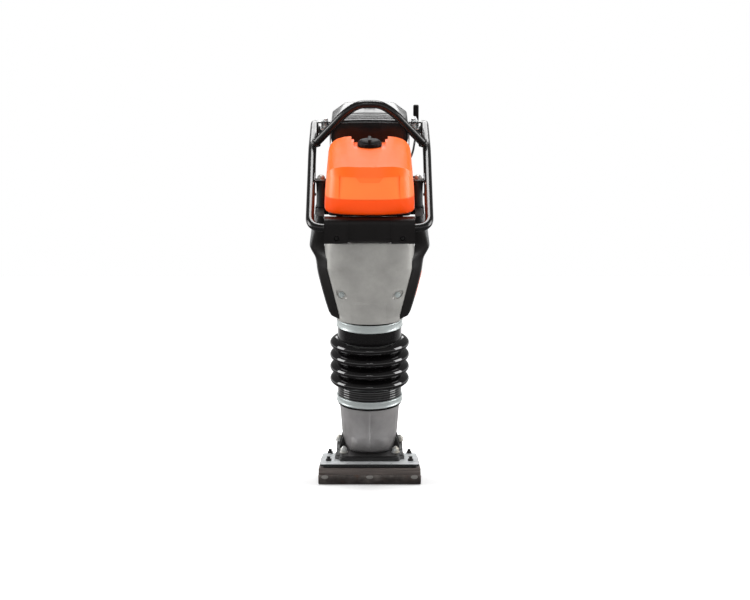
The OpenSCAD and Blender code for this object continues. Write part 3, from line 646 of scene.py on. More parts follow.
def toe_profile(inset, top):
    """Side outline of the shoe's turned-up bottom, from one top edge round to the other."""
    r = TOE_R - inset
    y = SHOE_L - inset
    out = [(-y, top)]
    out += arc(-y + r, TOE_R, r, 180, 270, 12)
    out += arc(y - r, TOE_R, r, 270, 360, 12)
    return out + [(y, top)]


outer = toe_profile(0, LIP_H)
inner = toe_profile(SOLE_T, LIP_H)
sole = prism("sole_plate", outer + inner[::-1], -SHOE_W, SHOE_W, "x", UPRIGHT)
soften(sole, 2.6, 4, 50)
shade(sole, 40)
finish(sole, MAT["sole_steel"], "leg", ["shoe_sole"])

core_side = toe_profile(SOLE_T, 46)
core = prism("wood_layers", core_side, CORE_LOW.x, CORE_HIGH.x, "x", UPRIGHT)
# The recessed step between the wood and the plate is near-black dark iron, standing in as painted shade of the gap
# under the plate
step_plan = soft_rect(CORE_LOW.x + 11, CORE_HIGH.x - 11, CORE_LOW.y + 10, CORE_HIGH.y - 10, 7)
step = prism("wood_top", step_plan, 45.5, PLATE_LOW.z - 0.1, "w", UPRIGHT)
for piece, look in ((core, "laminated_wood"), (step, "dark_iron")):
    clad(soften(piece, 1.4, 3, 40), look)
finish(step, None, "leg")
# Thin saw-cut glue lines between the layers
layers = []
for i in range(5):
    level = 30.5 + 3.1 * i
    groove, inside = [
        soft_rect(CORE_LOW.x + d, CORE_HIGH.x - d, CORE_LOW.y + d, CORE_HIGH.y - d, 4) for d in (-3, 0.45)
    ]
    stack = ((groove, -0.25), (groove, 0.25), (inside, 0.12), (inside, -0.12))
    rings = [[(p[0], p[1], level + d) for p in ring] for ring, d in stack]
    layers.append(loft(f"glue_{i}", rings, closed=True, place=UPRIGHT))
wood = join("shoe_wood", core)
cut(wood, *layers)
wood.data.materials.clear()
finish(shade(wood, 40), MAT["laminated_wood"], "leg", ["shoe_core"])

plate_plan = soft_rect(PLATE_LOW.x, PLATE_HIGH.x, PLATE_LOW.y, PLATE_HIGH.y, 9)
plate = prism("top_plate", plate_plan, PLATE_LOW.z, PLATE_HIGH.z, "w", UPRIGHT)
PLATE_HOLES = [(-113, -50, 5), (113, -50, 5), (-113, 60, 5), (113, 60, 5)]
PLATE_HOLES += [(0, -152, 4), (-60, -150, 3), (60, -150, 3)]
holes = [
    prism(f"hole_{i}", circle(x, y, r, 24), PLATE_LOW.z - 2, PLATE_HIGH.z + 2, "w", UPRIGHT)
    for i, (x, y, r) in enumerate(PLATE_HOLES)
]
cut(plate, *holes)
soften(plate, 1.0, 2, 40)
shade(plate, 40)
plate.data.materials.clear()
plate.data.materials.append(MAT["plate_zinc"])
plate.data.materials.append(MAT["dark_iron"])
# Faces not turned up take the dark iron, as painted shade along the plate's edges under its pale zinc top
for poly in plate.data.polygons:
    poly.material_index = 0 if abs(poly.normal.z) > 0.5 else 1
finish(plate, None, "leg", ["shoe_plate"])

screws = []
for i, x in enumerate((-122, 0, 122)):
    for s in (-1, 1):
        oval = [(x + 9.5 * c, 22 + 5.5 * d) for c, d in circle(0, 0, 1)]
        small = [(x + 0.8 * (p[0] - x), 22 + 0.8 * (p[1] - 22)) for p in oval]
        stack = ((oval, -0.5), (oval, 0.8), (small, 1.6))
        rings = [[(p[0], s * (SHOE_L + d), p[1]) for p in ring] for ring, d in stack]
        screws.append(shade(loft(f"lip_screw_{i}_{s}", rings, place=UPRIGHT), 30))
for x in (-113, 113):
    for y in (-95, 130):
        screws.append(washer("stud_washer", x, y, PLATE_HIGH.z, 11, 2, UPRIGHT))
        screws.append(hexagon("stud_nut", x, y, PLATE_HIGH.z + 2, 8, 7, UPRIGHT))
        stud = [(5, 0)] + [(5 - 0.35 * (k % 2), 0.5 * k) for k in range(1, 11)] + [(4.2, 6), (0.5, 6)]
        screws.append(shade(turned("stud", stud, 32, UPRIGHT, centre=(x, y, PLATE_HIGH.z + 9)), 30))
SCREW_FINISH = {"lip_screw": "dull_zinc", "stud_washer": "plate_zinc"}
for piece in screws:
    kind = next((k for k in SCREW_FINISH if piece.name.startswith(k)), None)
    piece.data.materials.append(MAT[SCREW_FINISH.get(kind, "dark_iron")])
finish(join("shoe_screws", *screws), None, "leg", ["shoe_bolts"])

# ---------------------------------------------------------------- foot bracket and leg

BRACKET_TOP = 96.0
half_plan = [(82, -84), (86, -30), (97, -20), (97, 92), (60, 104)]
plan = [(-82, -84)] + half_plan + [(-a, b) for a, b in half_plan[:0:-1]]
plan_round = [(p.x, p.y) for p in route([(a, b, 0) for a, b in plan], 9, 4, closed=True)]


def bracket_top(y):
    """Height above the ground of the bracket's leaning top face."""
    return (BRACKET_TOP + (y - FOOT_Y) * math.sin(LEAN)) / math.cos(LEAN)


def bracket_ring(size, height):
    """The bracket's plan drawn in about its middle, at a height given for each y."""
    ring = [(x * size, 8 + (y - 8) * size) for x, y in plan_round]
    return [(x, y, height(y)) for x, y in ring]


bracket = loft("foot_casting", [
    bracket_ring(1, lambda y: PLATE_HIGH.z),
    bracket_ring(1, lambda y: PLATE_HIGH.z + 9),
    bracket_ring(0.965, lambda y: PLATE_HIGH.z + 12),
    bracket_ring(0.95, lambda y: bracket_top(y) - 3),
    bracket_ring(0.93, bracket_top),
], place=UPRIGHT)
seat = turned("seat", [(66.2, 85.9), (66.2, 130)], 96)
cut(bracket, seat)
clad(soften(bracket, 1.2, 2, 35), "dark_iron", 35)
fins = []
for side in (1, -1):
    for v in (-22, 4, 30):
        web = [(66, 94), (84, 94), (82.5, 104), (77, 124), (73.5, 131), (72.5, 131), (71, 122)]
        fin = prism(f"web_{side}_{v}", on_side(side, web), v - 3, v + 3, "v")
        fins.append(clad(soften(fin, 1.0, 2, 30), "dark_iron", 35))
seat_rim = [(66.3, 95), (70.5, 95), (70.5, 98.5), (69, 100), (66.3, 100)]
fins.append(clad(turned("seat_rim", seat_rim, 96, closed=True), "dark_iron", 35))
finish(join("foot_bracket_piece", bracket, *fins), None, "leg", ["foot_bracket"])

heads = []
for side in (1, -1):
    for x, v in ((72 * side, -58), (85 * side, 42)):
        heads.append(washer("foot_washer", x, v, BRACKET_TOP, 11.5, 2.2))
        heads.append(washer("foot_spring_washer", x, v, BRACKET_TOP + 2.2, 9.2, 2.4))
        heads.append(hexagon("foot_nut", x, v, BRACKET_TOP + 4.6, 9.6, 7.5))
        stud = [(5, 0)] + [(5 - 0.35 * (k % 2), 0.5 * k) for k in range(1, 9)] + [(4.4, 5), (0.5, 5)]
        heads.append(shade(turned("foot_stud", stud, 32, centre=(x, v, BRACKET_TOP + 12)), 30))
for piece in heads:
    piece.data.materials.append(MAT["brass_zinc"])
finish(join("foot_nuts", *heads), None, "leg", ["foot_bolts"])

LEG_PROFILE = [
    (0.5, 86), (54, 86), (60, 91), (65, 98), (69, 109), (76.8, 141.5), (83, 225), (84, 228), (84, 264),
    (78, 264), (76, 232), (70, 152), (50.1, 152), (50.1, 113), (0.5, 113),
]


def cast_leg():
    profile = ring_bevel(LEG_PROFILE, 2.5, 3)
    steps = 240
    rings = []
    for radius, w in profile:
        ring = []
        for j in range(steps):
            a = 2 * math.pi * j / steps
            around = math.degrees(a + math.pi / 2)
            around = (around + 180) % 360 - 180
            outside = radius > 66 and w < 226 and w > 92
            seam = sum(1.7 * math.exp(-(((abs(around) - at) / 1.1) ** 2)) for at in (0, 180))
            rib = 1.1 * smooth(3.4, 1.8, abs(abs(around) - 62)) * smooth(100, 118, w) * smooth(222, 205, w)
            r = radius + (seam + rib if outside else 0)
            ring.append((r * math.cos(a), r * math.sin(a), w))
        rings.append(ring)
    return loft("leg_tube_casting", rings, closed=False)


leg = shade(cast_leg(), 32)
leg_cast = cast_metal("leg_cast", (0.40, 0.385, 0.385), 0.38, 0.35, 0.7)
finish(leg, leg_cast, "leg", ["leg_casting"])

# ---------------------------------------------------------------- bellows and its bands

FOLDS = 4
FOLD_PITCH = 34.5
FOLD_LOW = 296 - FOLD_PITCH / 2
NECK_R = 88.0
BELLOWS_R = 109.5


def bulge(w):
    t = (w - FOLD_LOW) / FOLD_PITCH
    if t <= 0 or t >= FOLDS:
        return NECK_R
    return NECK_R + (BELLOWS_R - NECK_R) * math.sin(math.pi * (t % 1.0)) ** 0.72


def neck(w):
    """Fine moulded ribs on the lower neck, under the folds."""
    if 252 < w < FOLD_LOW:
        rib = abs(math.sin((w - 252) / (FOLD_LOW - 252) * 4 * math.pi))
        return NECK_R - 0.4 + 0.9 * rib * smooth(FOLD_LOW, FOLD_LOW - 4, w)
    return bulge(w)


levels = [226 + 0.75 * i for i in range(int((473 - 226) / 0.75) + 1)]
outside = [(neck(w), w) for w in levels]
inside = [(min(neck(w), bulge(w)) - 3.6, w) for w in levels[::-1]]
boot = shade(turned("bellows_boot", outside + inside, 144, closed=True), 60)
boot.data.materials.append(MAT["bellows_rubber"])
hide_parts("bellows")
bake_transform(boot)


def band(name, r, w0, w1, body, node):
    inner, face, bead = r - 2.5, r - 0.6, r + 0.7
    low = [(inner, 0), (face, 0), (bead, 1.6), (bead, 3), (face, 4.6)]
    profile = [(a, w0 + b) for a, b in low] + [(a, w1 - b) for a, b in low[::-1]]
    profile = ring_bevel(profile, 0.7, 2)
    strap = shade(turned(name, profile, 144, closed=True), 40)
    pieces = [strap]
    mid = (w0 + w1) / 2
    for x0, x1 in ((-14, -9), (9, 14)):
        lug = prism("lug", soft_rect(r - 2, r + 12, w0 + 3, w1 - 3, 4), x0, x1, "x")
        pieces.append(shade(soften(lug, 0.8), 35))
    pieces.append(shade(turned("lug_screw", [(3, -18), (3, 18)], 24, axis="x", centre=(0, r + 6.5, mid)), 35))
    pieces.append(hexagon("lug_head", -19.5, r + 6.5, mid, 5.6, 4, axis="x"))
    for piece in pieces:
        piece.data.materials.append(MAT["clamp_steel"])
    return finish(join(name + "_band", *pieces), None, body, [node])


band("upper", 90.6, 448, 470, "root", "upper_clamp")
band("lower", 90.6, 232, 251, "leg", "lower_clamp")

# ---------------------------------------------------------------- guard and side covers

GUARD_X = [(470, 89.5), (491, 89.5), (629, 121.5), (760, 121.5)]
GUARD_V = [(470, 89.5), (491, 91), (629, 105), (760, 105)]
GUARD_P = [(470, 2.0), (491, 2.05), (629, 3.6), (760, 4.2)]


def guard_point(s, w, inset):
    a = table(GUARD_X, w) - inset
    b = table(GUARD_V, w) - inset - 30
    p = table(GUARD_P, w)
    c, d = math.cos(s), math.sin(s)
    x = signed_power(c, 2 / p) * a
    v = -30 + signed_power(d, 2 / p) * b
    if inset < 1:
        # Slanted oval pockets of the two bolts, and the shallow step under the nose
        for side in (1, -1):
            du, dw = (x - side * 76) * side, w - 558
            along = du * 0.82 + dw * 0.57
            across = -du * 0.57 + dw * 0.82
            far = math.hypot(along / 15.5, across / 10.5)
            v += 4.6 * smooth(1.08, 0.9, far)
        v += 1.2 * smooth(536, 534, w) * smooth(52, 44, abs(x))
    return (x, v, w)


def guard():
    around = 200
    heights = [474 + 2.1 * i for i in range(111)]
    heights = [w for w in heights if w < 705] + [705]
    count = around + 1
    rings = []
    for w in heights:
        soft = 1.4 * smooth(5, 0, w - 474) + 1.6 * smooth(5, 0, 705 - w)
        out = [guard_point(math.pi + math.pi * i / around, w, soft) for i in range(count)]
        back = [guard_point(2 * math.pi - math.pi * i / around, w, 4.5) for i in range(count)]
        rings.append(out + back)
    return loft("nose_guard", rings)


shell = shade(guard(), 42)
finish(shell, MAT["guard_grey"], "root", ["front_guard"])

COVER_X = [(481, 107), (533, 123), (612, 142), (647, 147), (685, 163), (716, 157), (745, 150), (768, 144)]
COVER_REAR = [(481, 30), (533, 70), (612, 120), (647, 150), (740, 150), (744, 40), (775, 30)]


def flange_edge(w):
    """Front inner edge of a cover's flange, lying on the guard's rounded corner."""
    p = table(GUARD_P, w)
    a, b = table(GUARD_X, w), table(GUARD_V, w) - 30
    over = 6.5 * smooth(700, 650, w)
    x = a - over
    v = -30 - b * (max(0.0, 1 - (x / a) ** p)) ** (1 / p)
    blend = smooth(700, 650, w)
    return x + 1.5 * (1 - blend), min(-48.0, v - 1.6) * blend - 48.0 * (1 - blend)


def cover(side):
    rings = []
    heights = [481 + 3.0 * i for i in range(95)]
    heights = [w for w in heights if w < 740] + [740, 741.3, 742.7, 744, 748, 754, 760, 764]
    for w in heights:
        x = curve(COVER_X, w)
        g, gv = flange_edge(w)
        b = table(COVER_REAR, w)
        dent = 2.2 * smooth(560, 575, w) * smooth(672, 660, w)
        points = [(g, gv), ((g + x - 14) / 2, 0.5 * gv - 24.2)]
        points += [(x - 8.5, -44.5), (x - 3.6, -40.5), (x - 1.0, -36), (x, -30)]
        span = [-20, -14, -10, 20, 60]
        points += [(x - (dent if -12 < v else 0), v) for v in span if v < b - 12]
        points += [(x - dent, b - 12)] * (len(span) - len([v for v in span if v < b - 12]))
        points += [(x - dent, b - 10), (x, b - 5), (x - 0.4, b - 0.8), (x - 1.8, b), (x - 3.5, b - 0.6)]
        points += [(x - 3.6 - dent, -28), (x - 4.6, -33), (x - 7.5, -38.6), (x - 13.5, -42.5)]
        points += [(g + 2.2, gv + 2.0)]
        drop = 7 * smooth(500, 481, w)
        rings.append([(side * px, v, w - 1 + drop * (px - g) / (x - g)) for px, v in points])
    wall = loft("cover_wall", rings)
    lid_points = []
    for w, rise in ((763, 0), (767, 0.08)):
        x = curve(COVER_X, w)
        g = table(GUARD_X, w) + 1.5
        b = table(COVER_REAR, w)
        outline = [(g, -48), (x - 12, -46), (x - 4, -41), (x - 1, -36)]
        outline += [(x, -30), (x, b - 4), (x - 4, b), (g, b)]
        lid_points.append([(side * px, v, w + rise * (v + 48)) for px, v in outline])
    lid = loft("cover_lid", lid_points)
    for piece in (wall, lid):
        soften(piece, 0.9, 2, 45)
        shade(piece, 40)
        piece.data.materials.append(MAT["cover_grey"])
        piece.data.materials.append(MAT["black_plastic"])
        # Faces turned to the front and those above 760 take the black plastic; on the flange tucked in behind the
        # guard this black is painted shade
        for poly in piece.data.polygons:
            middle = UNLEANT @ poly.center
            if middle.y < -39 or middle.z > 760:
                poly.material_index = 1
    name = "right" if side > 0 else "left"
    return finish(join(f"cover_{name}", wall, lid), None, "root", [f"side_cover_{name}"])


mirrored(cover)

accent = []
for k in range(25):
    w = 540 + (612 - 540) * k / 24
    accent.append(Vector((curve(COVER_X, w) - 1.2, -33.5, w)))
stripe = shade(tube("accent_line", accent, 1.5, 12, up=(0, 1, 0)), 60)
finish(stripe, MAT["trim_orange"], "root")

# ---------------------------------------------------------------- tank and cap

TANK_A = [(786, 112), (789.5, 118), (796, 121), (917, 113), (960, 109)]
TANK_NOSE = [(786, -116), (790, -123), (831, -134), (890, -131), (917, -117), (960, -92)]
TANK_BACK = 100.0
NOSE_START = -60.0
NOSE_POWERS = (2.9, 2.3)


def tank_top(x, v):
    rise = 917 + (v + 115) * 39 / 205
    over = max(0.0, min(1.0, (abs(x) - 50) / 62.0))
    return rise - 33 * (1 - math.sqrt(max(0.0, 1 - over * over)))


def tank_outline(w, count=200):
    """The tank's outline at one height: a bowed nose, then round the square back."""
    a = curve(TANK_A, w)
    nose = table(TANK_NOSE, w)
    out = []
    front = 128
    for i in range(front + 1):
        s = math.pi + math.pi * i / front
        c, d = math.cos(s), math.sin(s)
        v = NOSE_START + (nose - NOSE_START) * abs(d) ** (2 / NOSE_POWERS[1])
        out.append((signed_power(c, 2 / NOSE_POWERS[0]) * a, v))
    r = 24
    for sign in (1, -1):
        if sign == 1:
            out += [(a, v) for v in (-40, -20, 0, 20, 40, 60)]
            out += arc(a - r, TANK_BACK - r, r, 0, 90, 9)
            out += [(a - r - (2 * (a - r)) * k / 12, TANK_BACK) for k in range(1, 12)]
        else:
            out += arc(r - a, TANK_BACK - r, r, 90, 180, 9)
            out += [(-a, v) for v in (60, 40, 20, 0, -20, -40)]
    return out


def nose_v(x, w):
    a = curve(TANK_A, w)
    c = min(1.0, (abs(x) / a)) ** (NOSE_POWERS[0] / 2)
    d = math.sqrt(max(0.0, 1 - c * c))
    return NOSE_START + (table(TANK_NOSE, w) - NOSE_START) * d ** (2 / NOSE_POWERS[1])


def tank_body():
    base = tank_outline(917)
    count = len(base)
    # Height of the rim all the way round, where the side meets the rounded top
    rim = []
    for j in range(count):
        w = 905.0
        for _ in range(30):
            x, v = tank_outline_cache(w)[j]
            w = 0.5 * w + 0.5 * (tank_top(x, v))
        rim.append(w)
    rings = []
    sides = 46
    for k in range(sides + 1):
        ring = []
        for j in range(count):
            low = 786.0
            t = k / sides
            w = low + (rim[j] - low) * (t ** 0.9 if k else 0)
            x, v = tank_outline_cache(w)[j]
            ring.append((x, v, w))
        rings.append(ring)
    edge = rings[-1]
    middle = (0.0, -10.0)
    for k, s in enumerate([0.992, 0.984, 0.975, 0.965, 0.95] + [0.93 - 0.04 * i for i in range(23)]):
        ring = []
        for j in range(count):
            x = middle[0] + s * (edge[j][0] - middle[0])
            v = middle[1] + s * (edge[j][1] - middle[1])
            ring.append((x, v, tank_top(x, v)))
        rings.append(ring)
    return loft("tank_shell", rings)


OUTLINES = {}


def tank_outline_cache(w):
    key = round(w * 4) / 4
    if key not in OUTLINES:
        OUTLINES[key] = tank_outline(key)
    return OUTLINES[key]


def panel_depth(w):
    """The front panel is let in more at its top, so that it faces up a little."""
    return 0.9 + 3.6 * (w - 831) / 61


tank = tank_body()
panel_rings = []
for k in range(61):
    x = -80.6 + 161.2 * k / 60
    dip = 15 * smooth(39, 24, abs(x))
    low, high = 831, 892 - dip
    ws = [low + (high - low) * i / 10 for i in range(11)]
    face = [(x, nose_v(x, w) + panel_depth(w), w) for w in ws]
    panel_rings.append(face + [(x, -150, high), (x, -150, low)])
panel_cut = loft("panel_cut", panel_rings)
recess = prism("cap_recess", soft_rect(-43, 43, 4, 112, 10), 941, 985, "w")
recess_back = prism("cap_recess_back", soft_rect(-50, 50, 30, 112, 6), 950, 986, "w")
cut(tank, panel_cut, recess, recess_back)
soften(tank, 1.1, 3, 24)
shade(tank, 50)
finish(tank, MAT["tank_orange"], "root", ["fuel_tank"])
# The panel's front faces take the lighter orange, as painted light on a face turned up to the lamps
tank.data.materials.append(MAT["panel_orange"])
for poly in tank.data.polygons:
    mid = UNLEANT @ poly.center
    facing = (UNLEANT.to_3x3() @ poly.normal).normalized()
    if abs(mid.x) < 80.5 and 831 < mid.z < 892 and facing.y < -0.7:
        if mid.y > nose_v(mid.x, mid.z) + 0.5 * panel_depth(mid.z):
            poly.material_index = 1

# Tray that the tank stands on
tray = prism("tank_tray", soft_rect(-110, 110, -92, 92, 16), 778, 787.6, "w")
soften(tray, 1.5, 2, 35)
finish(shade(tray, 40), MAT["black_plastic"], "root")
neck_profile = ring_bevel([(22, 938), (24.5, 938), (24.5, 943.5), (22, 943.5), (22, 938)], 0.4, 2)
neck_ring = shade(turned("tank_neck", neck_profile, 64, centre=(0, 46, 0), closed=True), 35)
finish(neck_ring, MAT["black_plastic"], "root")


def knurled_cap():
    skirt = [(17, 926), (21, 926), (21, 942), (33.4, 942), (33.4, 951.4)]
    crown = [(30.6, 952.6), (29.4, 956.4), (24, 959.2), (12, 960.6), (0.3, 961)]
    profile = ring_bevel(skirt + crown, 1.2, 3)
    rings = []
    for radius, w in profile:
        ring = []
        for j in range(216):
            a = 2 * math.pi * j / 216
            lobe = 0.7 * (0.5 + 0.5 * math.cos(18 * a)) ** 3 if 942.5 < w < 951.8 and radius > 30 else 0
            r = radius - lobe
            ring.append((r * math.cos(a), 46 + r * math.sin(a), w))
        rings.append(ring)
    return loft("cap_dome", rings)


dome = shade(knurled_cap(), 40)
grip = prism("cap_grip", soft_rect(-5, 5, 15, 77, 4.5), 950, 964, "w")
soften(grip, 2.6, 3, 40)
for piece in (dome, grip):
    clad(piece, "cap_black", 45)
finish(join("fuel_cap_piece", dome, grip), None, "cap", ["fuel_cap"])

# ---------------------------------------------------------------- hood

HOOD_TOP = [(195, 984), (240, 992), (400, 1000), (420, 984)]
HOOD_SHOULDER = [(195, 974), (240, 975), (400, 972), (420, 962)]
HOOD_CROWN = [(195, 96), (240, 84), (420, 68)]
HOOD_X = 108.0


def hood_section(v, inset, dip):
    top = curve(HOOD_TOP, v) - inset
    a = HOOD_X - inset
    low = 918 + inset
    shoulder = curve(HOOD_SHOULDER, v) - inset
    crown = curve(HOOD_CROWN, v) - inset
    half = [(crown, top), (a, shoulder), (a, low + 12), (a - 4, low)]
    outline = [(-x, w) for x, w in half[::-1]] + [(0, top + 3)] + half
    radii = [2, 5, 7, 9, 60, 9, 7, 5, 2]
    pts = [Vector((x, w, 0)) for x, w in outline]
    out = []
    for i, p in enumerate(pts):
        out += corner(pts[i - 1], p, pts[(i + 1) % len(pts)], radii[i], 6)
    ring = []
    for p in out:
        sink = dip * smooth(crown + 2, crown - 14, abs(p.x)) if p.y > shoulder + 6 else 0
        ring.append((p.x, v, p.y - sink))
    return ring


stations = [(195, 7, 0), (195.5, 4.6, 0), (196.6, 2.6, 0), (198.4, 1.1, 0), (200.6, 0.3, 0), (203, 0, 0)]
for centre in (216, 231, 246):
    groove = ((-5, 0), (-3.4, 0.4), (-2, 2.0), (2, 2.0), (3.4, 0.4), (5, 0))
    stations += [(centre + along, 0, depth) for along, depth in groove]
stations += [(262 + 10 * i, 0, 0) for i in range(14)]
stations += [(400, 0, 0), (405, 0.3, 0), (409, 1.0, 0), (413, 2.2, 0)]
stations += [(416.5, 4.0, 0), (418.8, 6.5, 0), (420, 10, 0)]
cover_hood = loft("hood_shell", [hood_section(*s) for s in stations])
vents = []
for side in (1, -1):
    for i in range(6):
        v = 300 + 14 * i
        outline = [(v, 938), (v + 6, 938), (v + 12, 962), (v + 6, 962)]
        vents.append(prism(f"vent_{side}_{i}", outline, side * 104, side * 112, "x"))
cut(cover_hood, *vents)
soften(cover_hood, 0.8, 2, 32)
shade(cover_hood, 42)
cover_hood.data.materials.clear()
finish(cover_hood, MAT["hood_black"], "root", ["hood"])

# Raised bead across the hood's front face, and the rim it sits on
bead = [Vector((-92 + 184 * k / 40, 194.6, 975.5 + 2.5 * (1 - ((k - 20) / 20.0) ** 2))) for k in range(41)]
bead_piece = shade(tube("hood_bead", bead, 1.6, 12, up=(0, 1, 0)), 60)
finish(bead_piece, MAT["hood_black"], "root")

rim = prism("filter_tray", soft_rect(-104, 104, 195.4, 420, 8), 910, 917.9, "w")
tongue = prism("filter_tongue", soft_rect(-20, 30, 170, 200, 4), 912, 917.5, "w")
for piece in (rim, tongue):
    clad(soften(piece, 1.0, 2, 35), "black_plastic")
finish(join("filter_tray_piece", rim, tongue), None, "root", ["filter_base"])

# ---------------------------------------------------------------- handle

TUBE_R = 11.5
ARM_X = 160.0
FRONT_V = -120
FRONT_W = 752
ARM = [(FRONT_V, FRONT_W), (198, 904), (463, 930), (552, 888)]
LOOP = [(ARM_X, v, w) for v, w in ARM] + [(-ARM_X, v, w) for v, w in ARM[::-1]]
BAIL_SIDE = [(153, 200, 916), (66, 167, 1012), (30, 163, 1036)]
BAIL = BAIL_SIDE + [(-x, v, w) for x, v, w in BAIL_SIDE[::-1]]
COLUMN_X = 133
COLUMN_V = 69
REAR_X = 127
REAR_V = 315


def painted(piece, angle=40):
    return clad(piece, "black_paint", angle)


def even(path, step, closed=True):
    """The route divided so that no stretch is much longer than a step."""
    out = []
    for a, b in zip(path, path[1:] + path[:1] if closed else path[1:]):
        count = max(1, int((b - a).length / step))
        out += [a.lerp(b, k / count) for k in range(count)]
    return out if closed else out + [path[-1]]


loop_path = even(route(LOOP, 42, 14, closed=True), 25)
frame_parts = [painted(tube("loop", loop_path, TUBE_R, 40, closed=True), 60)]


def arm_w(v):
    """Height of an arm's centre line."""
    return table(ARM[:3], v)


for side in (1, -1):
    ear = prism("ear", on_side(side, soft_rect(117, 157, 53, 85, 9)), 838, 844, "w")
    cut(ear, prism("ear_hole", circle(side * COLUMN_X, COLUMN_V, 5.1), 830, 850, "w"))
    frame_parts.append(painted(soften(ear, 1.0), 40))
    web = prism("ear_web", [(56, 812), (82, 812), (84, 842), (54, 842)], side * 150, side * 156, "x")
    frame_parts.append(painted(soften(web, 1.2), 40))
    low_lug = prism("low_lug", on_side(side, soft_rect(146, 158, 30, 48, 4)), 806, 811, "w")
    frame_parts.append(painted(soften(low_lug, 0.9), 40))
    upright = prism("angle_side", soft_rect(295, 335, arm_w(REAR_V) - 2, 961, 6), side * 146, side * 151, "x")
    frame_parts.append(painted(soften(upright, 1.0), 40))
    shelf = prism("angle_shelf", on_side(side, soft_rect(112, 148, 298, 332, 6)), 957, 961, "w")
    frame_parts.append(painted(soften(shelf, 1.0), 40))
    # Weld fillets where the plates meet the tube
    for v0, v1 in ((56, 83), (298, 332)):
        places = [v0 + (v1 - v0) * k / 12 for k in range(13)]
        path = [Vector((side * 150.6, v, arm_w(v) + 7.5)) for v in places]
        frame_parts.append(painted(tube("weld", path, lambda t: 2.6 + 0.3 * math.sin(60 * t), 12), 60))
finish(join("handle_loop", *frame_parts), None, "handle", ["handle_frame"])

bail_path = even(route(BAIL, 34, 10), 12, closed=False)
bail_parts = [painted(tube("bail", bail_path, TUBE_R, 40, up=(0, 1, 0)), 60)]
for toe, knee in ((BAIL[0], BAIL[1]), (BAIL[-1], BAIL[-2])):
    toe = Vector(toe)
    direction = (Vector(knee) - toe).normalized()
    s = direction.cross(Vector((0, 1, 0))).normalized()
    u = s.cross(direction)
    collar = []
    for c, d in circle(0, 0, 1, 40):
        out = (s * c + u * d) * (TUBE_R + 0.6)
        collar.append(toe + direction * (4.5 + 2.2 * abs(c)) + out)
    weld = tube("bail_weld", collar, lambda t: 2.5 + 0.3 * math.sin(150 * t), 10, closed=True, up=(0, 1, 0.1))
    bail_parts.append(painted(weld, 60))
finish(join("bail_piece", *bail_parts), None, "handle", ["lifting_bail"])

bumper_parts = []
for side in (1, -1):
    block = prism("bumper_end", soft_rect(-150, -96, 712, 781.6, 16, 8), side * 58, side * 121, "x")
    pocket = prism("screw_pocket", circle(side * 88, 730, 7.2, 40), -156, -143, "v")
    cut(block, pocket, prism("core", circle(FRONT_V, FRONT_W, TUBE_R + 0.3, 48), side * 56, side * 123, "x"))
    bumper_parts.append(soften(block, 4.2, 4, 50))
middle = prism("bumper_middle", soft_rect(-146.5, -97, 715.5, 781, 15, 8), -60, 60, "x")
cut(middle, prism("core", circle(FRONT_V, FRONT_W, TUBE_R + 0.3, 48), -62, 62, "x"))
bumper_parts.append(soften(middle, 1.6, 3, 50))
for piece in bumper_parts:
    clad(piece, "black_plastic", 50)
finish(join("bumper", *bumper_parts), None, "handle", ["front_bumper"])

grip_profile = [(11.7, -100), (17.4, -100), (17.4, -96.5), (15.6, -95)]
for k in range(46):
    x = -93 + 186 * k / 45
    grip_profile += [(15.4, x - 1.4), (16.2, x - 0.7), (16.2, x + 0.7), (15.4, x + 1.4)]
grip_profile += [(15.6, 95), (17.4, 96.5), (17.4, 100), (11.7, 100)]
sleeve = shade(turned("rear_grip", grip_profile, 72, axis="x", centre=(0, *ARM[3]), closed=True), 50)
finish(sleeve, MAT["buffer_rubber"], "handle", ["grip_sleeve"])

fixings = []
for side in (1, -1):
    fixings.append(washer("bumper_washer", side * 88, -144.2, 730, 6.3, 1.2, axis="v"))
    fixings.append(hexagon("bumper_screw", side * 88, -145, 730, 4.6, 3.2, axis="v"))
    column = (side * COLUMN_X, COLUMN_V)
    fixings.append(washer("dome_washer", *column, 844, 13.5, 2))
    dome_curve = [(10.5 * c, 2 + 9 * d) for c, d in arc(0, 0, 1, 0, 90, 10)[:-1]]
    dome_profile = [(10.5, 0)] + dome_curve + [(0.3, 11)]
    fixings.append(shade(turned("dome_cap", dome_profile, 48, centre=(*column, 846)), 35))
    fixings.append(shade(turned("pillar_bolt", [(5, 747), (5, 844)], 32, centre=(*column, 0)), 35))
    fixings.append(hexagon("pillar_nut", *column, 749.2, 9, 7))
    stay = (side * 154, 40, 0)
    fixings.append(shade(turned("stay_rod", [(2.4, 796), (2.4, 840)], 20, centre=stay), 35))
    fixings.append(shade(turned("stay_spacer", [(5.2, 811.2), (5.2, 819)], 32, centre=stay), 35))
    fixings.append(washer("rear_washer", side * REAR_X, REAR_V, 961, 10.5, 1.6))
    fixings.append(hexagon("rear_bolt", side * REAR_X, REAR_V, 962.6, 8.6, 6))
FIXING_FINISH = {"bumper": "black_paint", "dome": "dull_zinc"}
for piece in fixings:
    piece.data.materials.append(MAT[FIXING_FINISH.get(piece.name.split("_")[0], "zinc")])
finish(join("handle_fixings", *fixings), None, "handle", ["handle_screws"])

